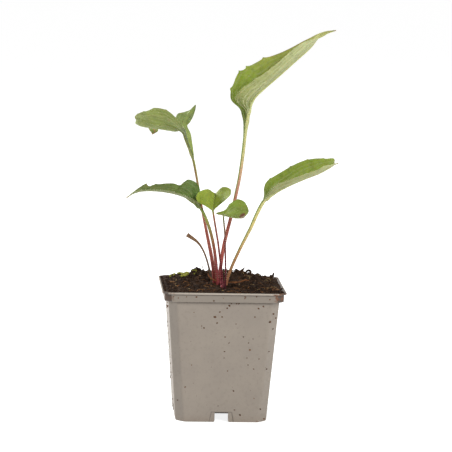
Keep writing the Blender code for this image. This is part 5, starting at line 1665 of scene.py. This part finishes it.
def wander(chooser, x, y, length, lift):
    """A walk over the peat as a line of (point, width share)."""
    turn = chooser.uniform(0.0, 2.0 * math.pi)
    count = max(int(length / FIBRE_STEP), 3)
    line = []
    for k in range(count + 1):
        t = k / count
        z = ground(x, y, False) + lift * math.sin(math.pi * t) + 0.15
        line.append((Vector((x, y, z)), 0.35 + 0.65 * math.sin(math.pi * (0.12 + 0.8 * t))))
        turn += chooser.gauss(0.0, FIBRE_BEND)
        x = min(max(x + FIBRE_STEP * math.cos(turn), -FIBRE_REACH), FIBRE_REACH)
        y = min(max(y + FIBRE_STEP * math.sin(turn), -FIBRE_REACH), FIBRE_REACH)
        spare = abs(x) + abs(y) - FIBRE_CORNER
        if spare > 0.0:
            x -= math.copysign(0.5 * spare, x)
            y -= math.copysign(0.5 * spare, y)
    return line


def thread_piece(name, lines, thickness, fineness, roughness, patch_mm, tints):
    """Threads on the peat, with a finish of their own."""
    mesh = thread_mesh(name, lines, thickness, fineness)
    mesh.transform(HOME)
    finish = mottled_finish(name + "_dry", tints, roughness, patch_mm)
    finish_mesh(mesh, name, finish)


for name, count, thickness, length, lift, seed, tints in FIBRES:
    chooser = random.Random(seed)
    lines = []
    for _ in range(count):
        x, y = (chooser.uniform(-SCATTER_HALF, SCATTER_HALF) for _ in range(2))
        lines.append(wander(chooser, x, y, chooser.uniform(*length), chooser.uniform(*lift)))
    thread_piece(name, lines, thickness, 1, 0.8, 4.0, tints)

# %% [markdown]
# A few bits stand out in the photograph: a dry sheath at the foot of the withered stalk, a strip
# of bark lying in front of the stalks, a flake, a curl and a stub on the skyline, and a twig
# behind. Each is a row of x, y, z and the thread's width there.

# %% Single bits
SHEATH = ((-10.2, -2.0, 104.6, 0.4), (-9.6, -3.5, 102.8, 0.8), (-7.9, -5.0, 101.0, 0.9),
          (-5.4, -6.0, 100.1, 0.6), (-3.4, -6.4, 99.6, 0.2))
BARK_STRIP = ((4.9, -6.0, 98.8, 0.3), (9.5, -6.0, 98.4, 0.6), (13.9, -5.5, 99.3, 0.7),
              (17.4, -5.2, 100.6, 0.8), (20.0, -5.0, 100.0, 0.3))
FLAKE = ((14.6, 27.0, 100.6, 1.3), (15.9, 27.0, 102.2, 1.5), (17.4, 27.0, 103.6, 1.1),
         (18.8, 27.0, 105.4, 0.2))
CURL = ((20.2, 30.0, 101.4, 0.9), (20.8, 30.0, 102.4, 1.1), (21.9, 30.0, 102.8, 1.1),
        (23.1, 30.0, 102.3, 1.2), (23.6, 30.0, 101.3, 1.1), (23.0, 30.0, 100.4, 0.6))
STUB = ((40.6, 36.5, 97.0, 1.1), (40.9, 36.5, 98.8, 1.0), (41.2, 36.5, 100.3, 0.7))
TWIG = ((-12.0, 27.0, 101.5, 0.55), (-12.3, 27.0, 104.2, 0.5), (-13.1, 27.0, 106.2, 0.4),
        (-13.7, 27.0, 107.3, 0.2))
for name, rows, thickness, tints in (
        ("bark_strips", (SHEATH, BARK_STRIP), 1.5, ((0.3, "482B1A"), (0.6, "7A4E2F"))),
        ("dark_flakes", (FLAKE, CURL, STUB), 1.5, ((0.3, "1C130E"), (0.7, "3E2C1F"))),
        ("dry_twig", (TWIG,), 1.0, ((0.3, "5E5238"), (0.7, "8A7C58")))):
    lines = [[(Vector(spot[:3]), spot[3]) for spot in row] for row in rows]
    thread_piece(name, lines, thickness, 2, 0.85, 3.0, tints)

# %% [markdown]
# ## The crown
#
# At the foot of the stalks sits the crown, a short rootstock with red buds wrapped in scales. Each
# bud is a spun profile: a line turned about its own axis, then leaned a little. Turning is what a
# lathe does, and it closes at both ends. The same vector noise then dents the scales a little.

# %% Buds on the rootstock
CROWN_PLACE = (0.6, -5.2)
CROWN_TOP = 96.6
CROWN_FOOT = 88.6
BUDS = (
    # x, y, height over the crown, radius, lean to x
    (-0.9, 0.3, 3.4, 0.85, -0.14),
    (0.8, 0.6, 4.0, 0.80, 0.10),
    (0.1, -0.9, 2.2, 0.95, 0.02),
    (-0.1, 1.0, 4.8, 0.70, -0.04),
)


def spun(bm, profile, segments, place):
    """Turn a profile of (radius, height) points about z, close its seam and move it."""
    before = set(bm.verts)
    verts = [bm.verts.new((radius, 0.0, z)) for radius, z in profile]
    edges = [bm.edges.new(pair) for pair in zip(verts, verts[1:])]
    bmesh.ops.spin(bm, geom=verts + edges, angle=2.0 * math.pi, steps=segments,
                   axis=(0.0, 0.0, 1.0), cent=(0.0, 0.0, 0.0), use_merge=True)
    fresh = [vert for vert in bm.verts if vert not in before]
    bmesh.ops.remove_doubles(bm, verts=fresh, dist=0.0001)
    fresh = [vert for vert in bm.verts if vert not in before]
    bmesh.ops.transform(bm, matrix=place, verts=fresh)


crown_bm = bmesh.new()
spun(crown_bm, [(0.0, CROWN_FOOT), (1.0, CROWN_FOOT), (1.9, CROWN_FOOT + 4.0),
                (1.9, CROWN_TOP - 0.8), (1.5, CROWN_TOP - 0.2), (0.0, CROWN_TOP + 0.1)],
     20, Matrix.Translation((*CROWN_PLACE, 0.0)))
for x, y, height, radius, lean in BUDS:
    top = height + 2.0
    seat = Matrix.Translation((CROWN_PLACE[0] + x, CROWN_PLACE[1] + y, CROWN_TOP - 2.0))
    profile = [(0.0, 0.0), (0.8 * radius, 0.3)]
    for step in range(9):
        t = step / 8.0
        swell = math.sin(math.pi * (0.35 + 0.6 * t)) ** 0.8
        profile.append((radius * swell * (1.0 - 0.12 * (step % 3)), 0.4 + (top - 0.6) * t))
    profile.append((0.0, top))
    spun(crown_bm, profile, 16, seat @ Matrix.Shear("XY", 4, (lean, 0.0)))
for vert in crown_bm.verts:
    vert.co += noise.noise_vector(vert.co * 1.1) * 0.16
bmesh.ops.recalc_face_normals(crown_bm, faces=crown_bm.faces[:])

# Bud scales are waxy, from wine-red to pink, and their fine relief follows the same patches
bud_skin = mottled_finish("red_bud_scale", ((0.3, "4A1C20"), (0.5, "8A3038"), (0.7, "B5626A")),
                          0.45, 1.3, detail=3.0, shine=0.4, relief=(1.3, 3.0, 0.4, 0.15))
finish_piece(crown_bm, "crown_buds", bud_skin, ("crown",), 60.0)
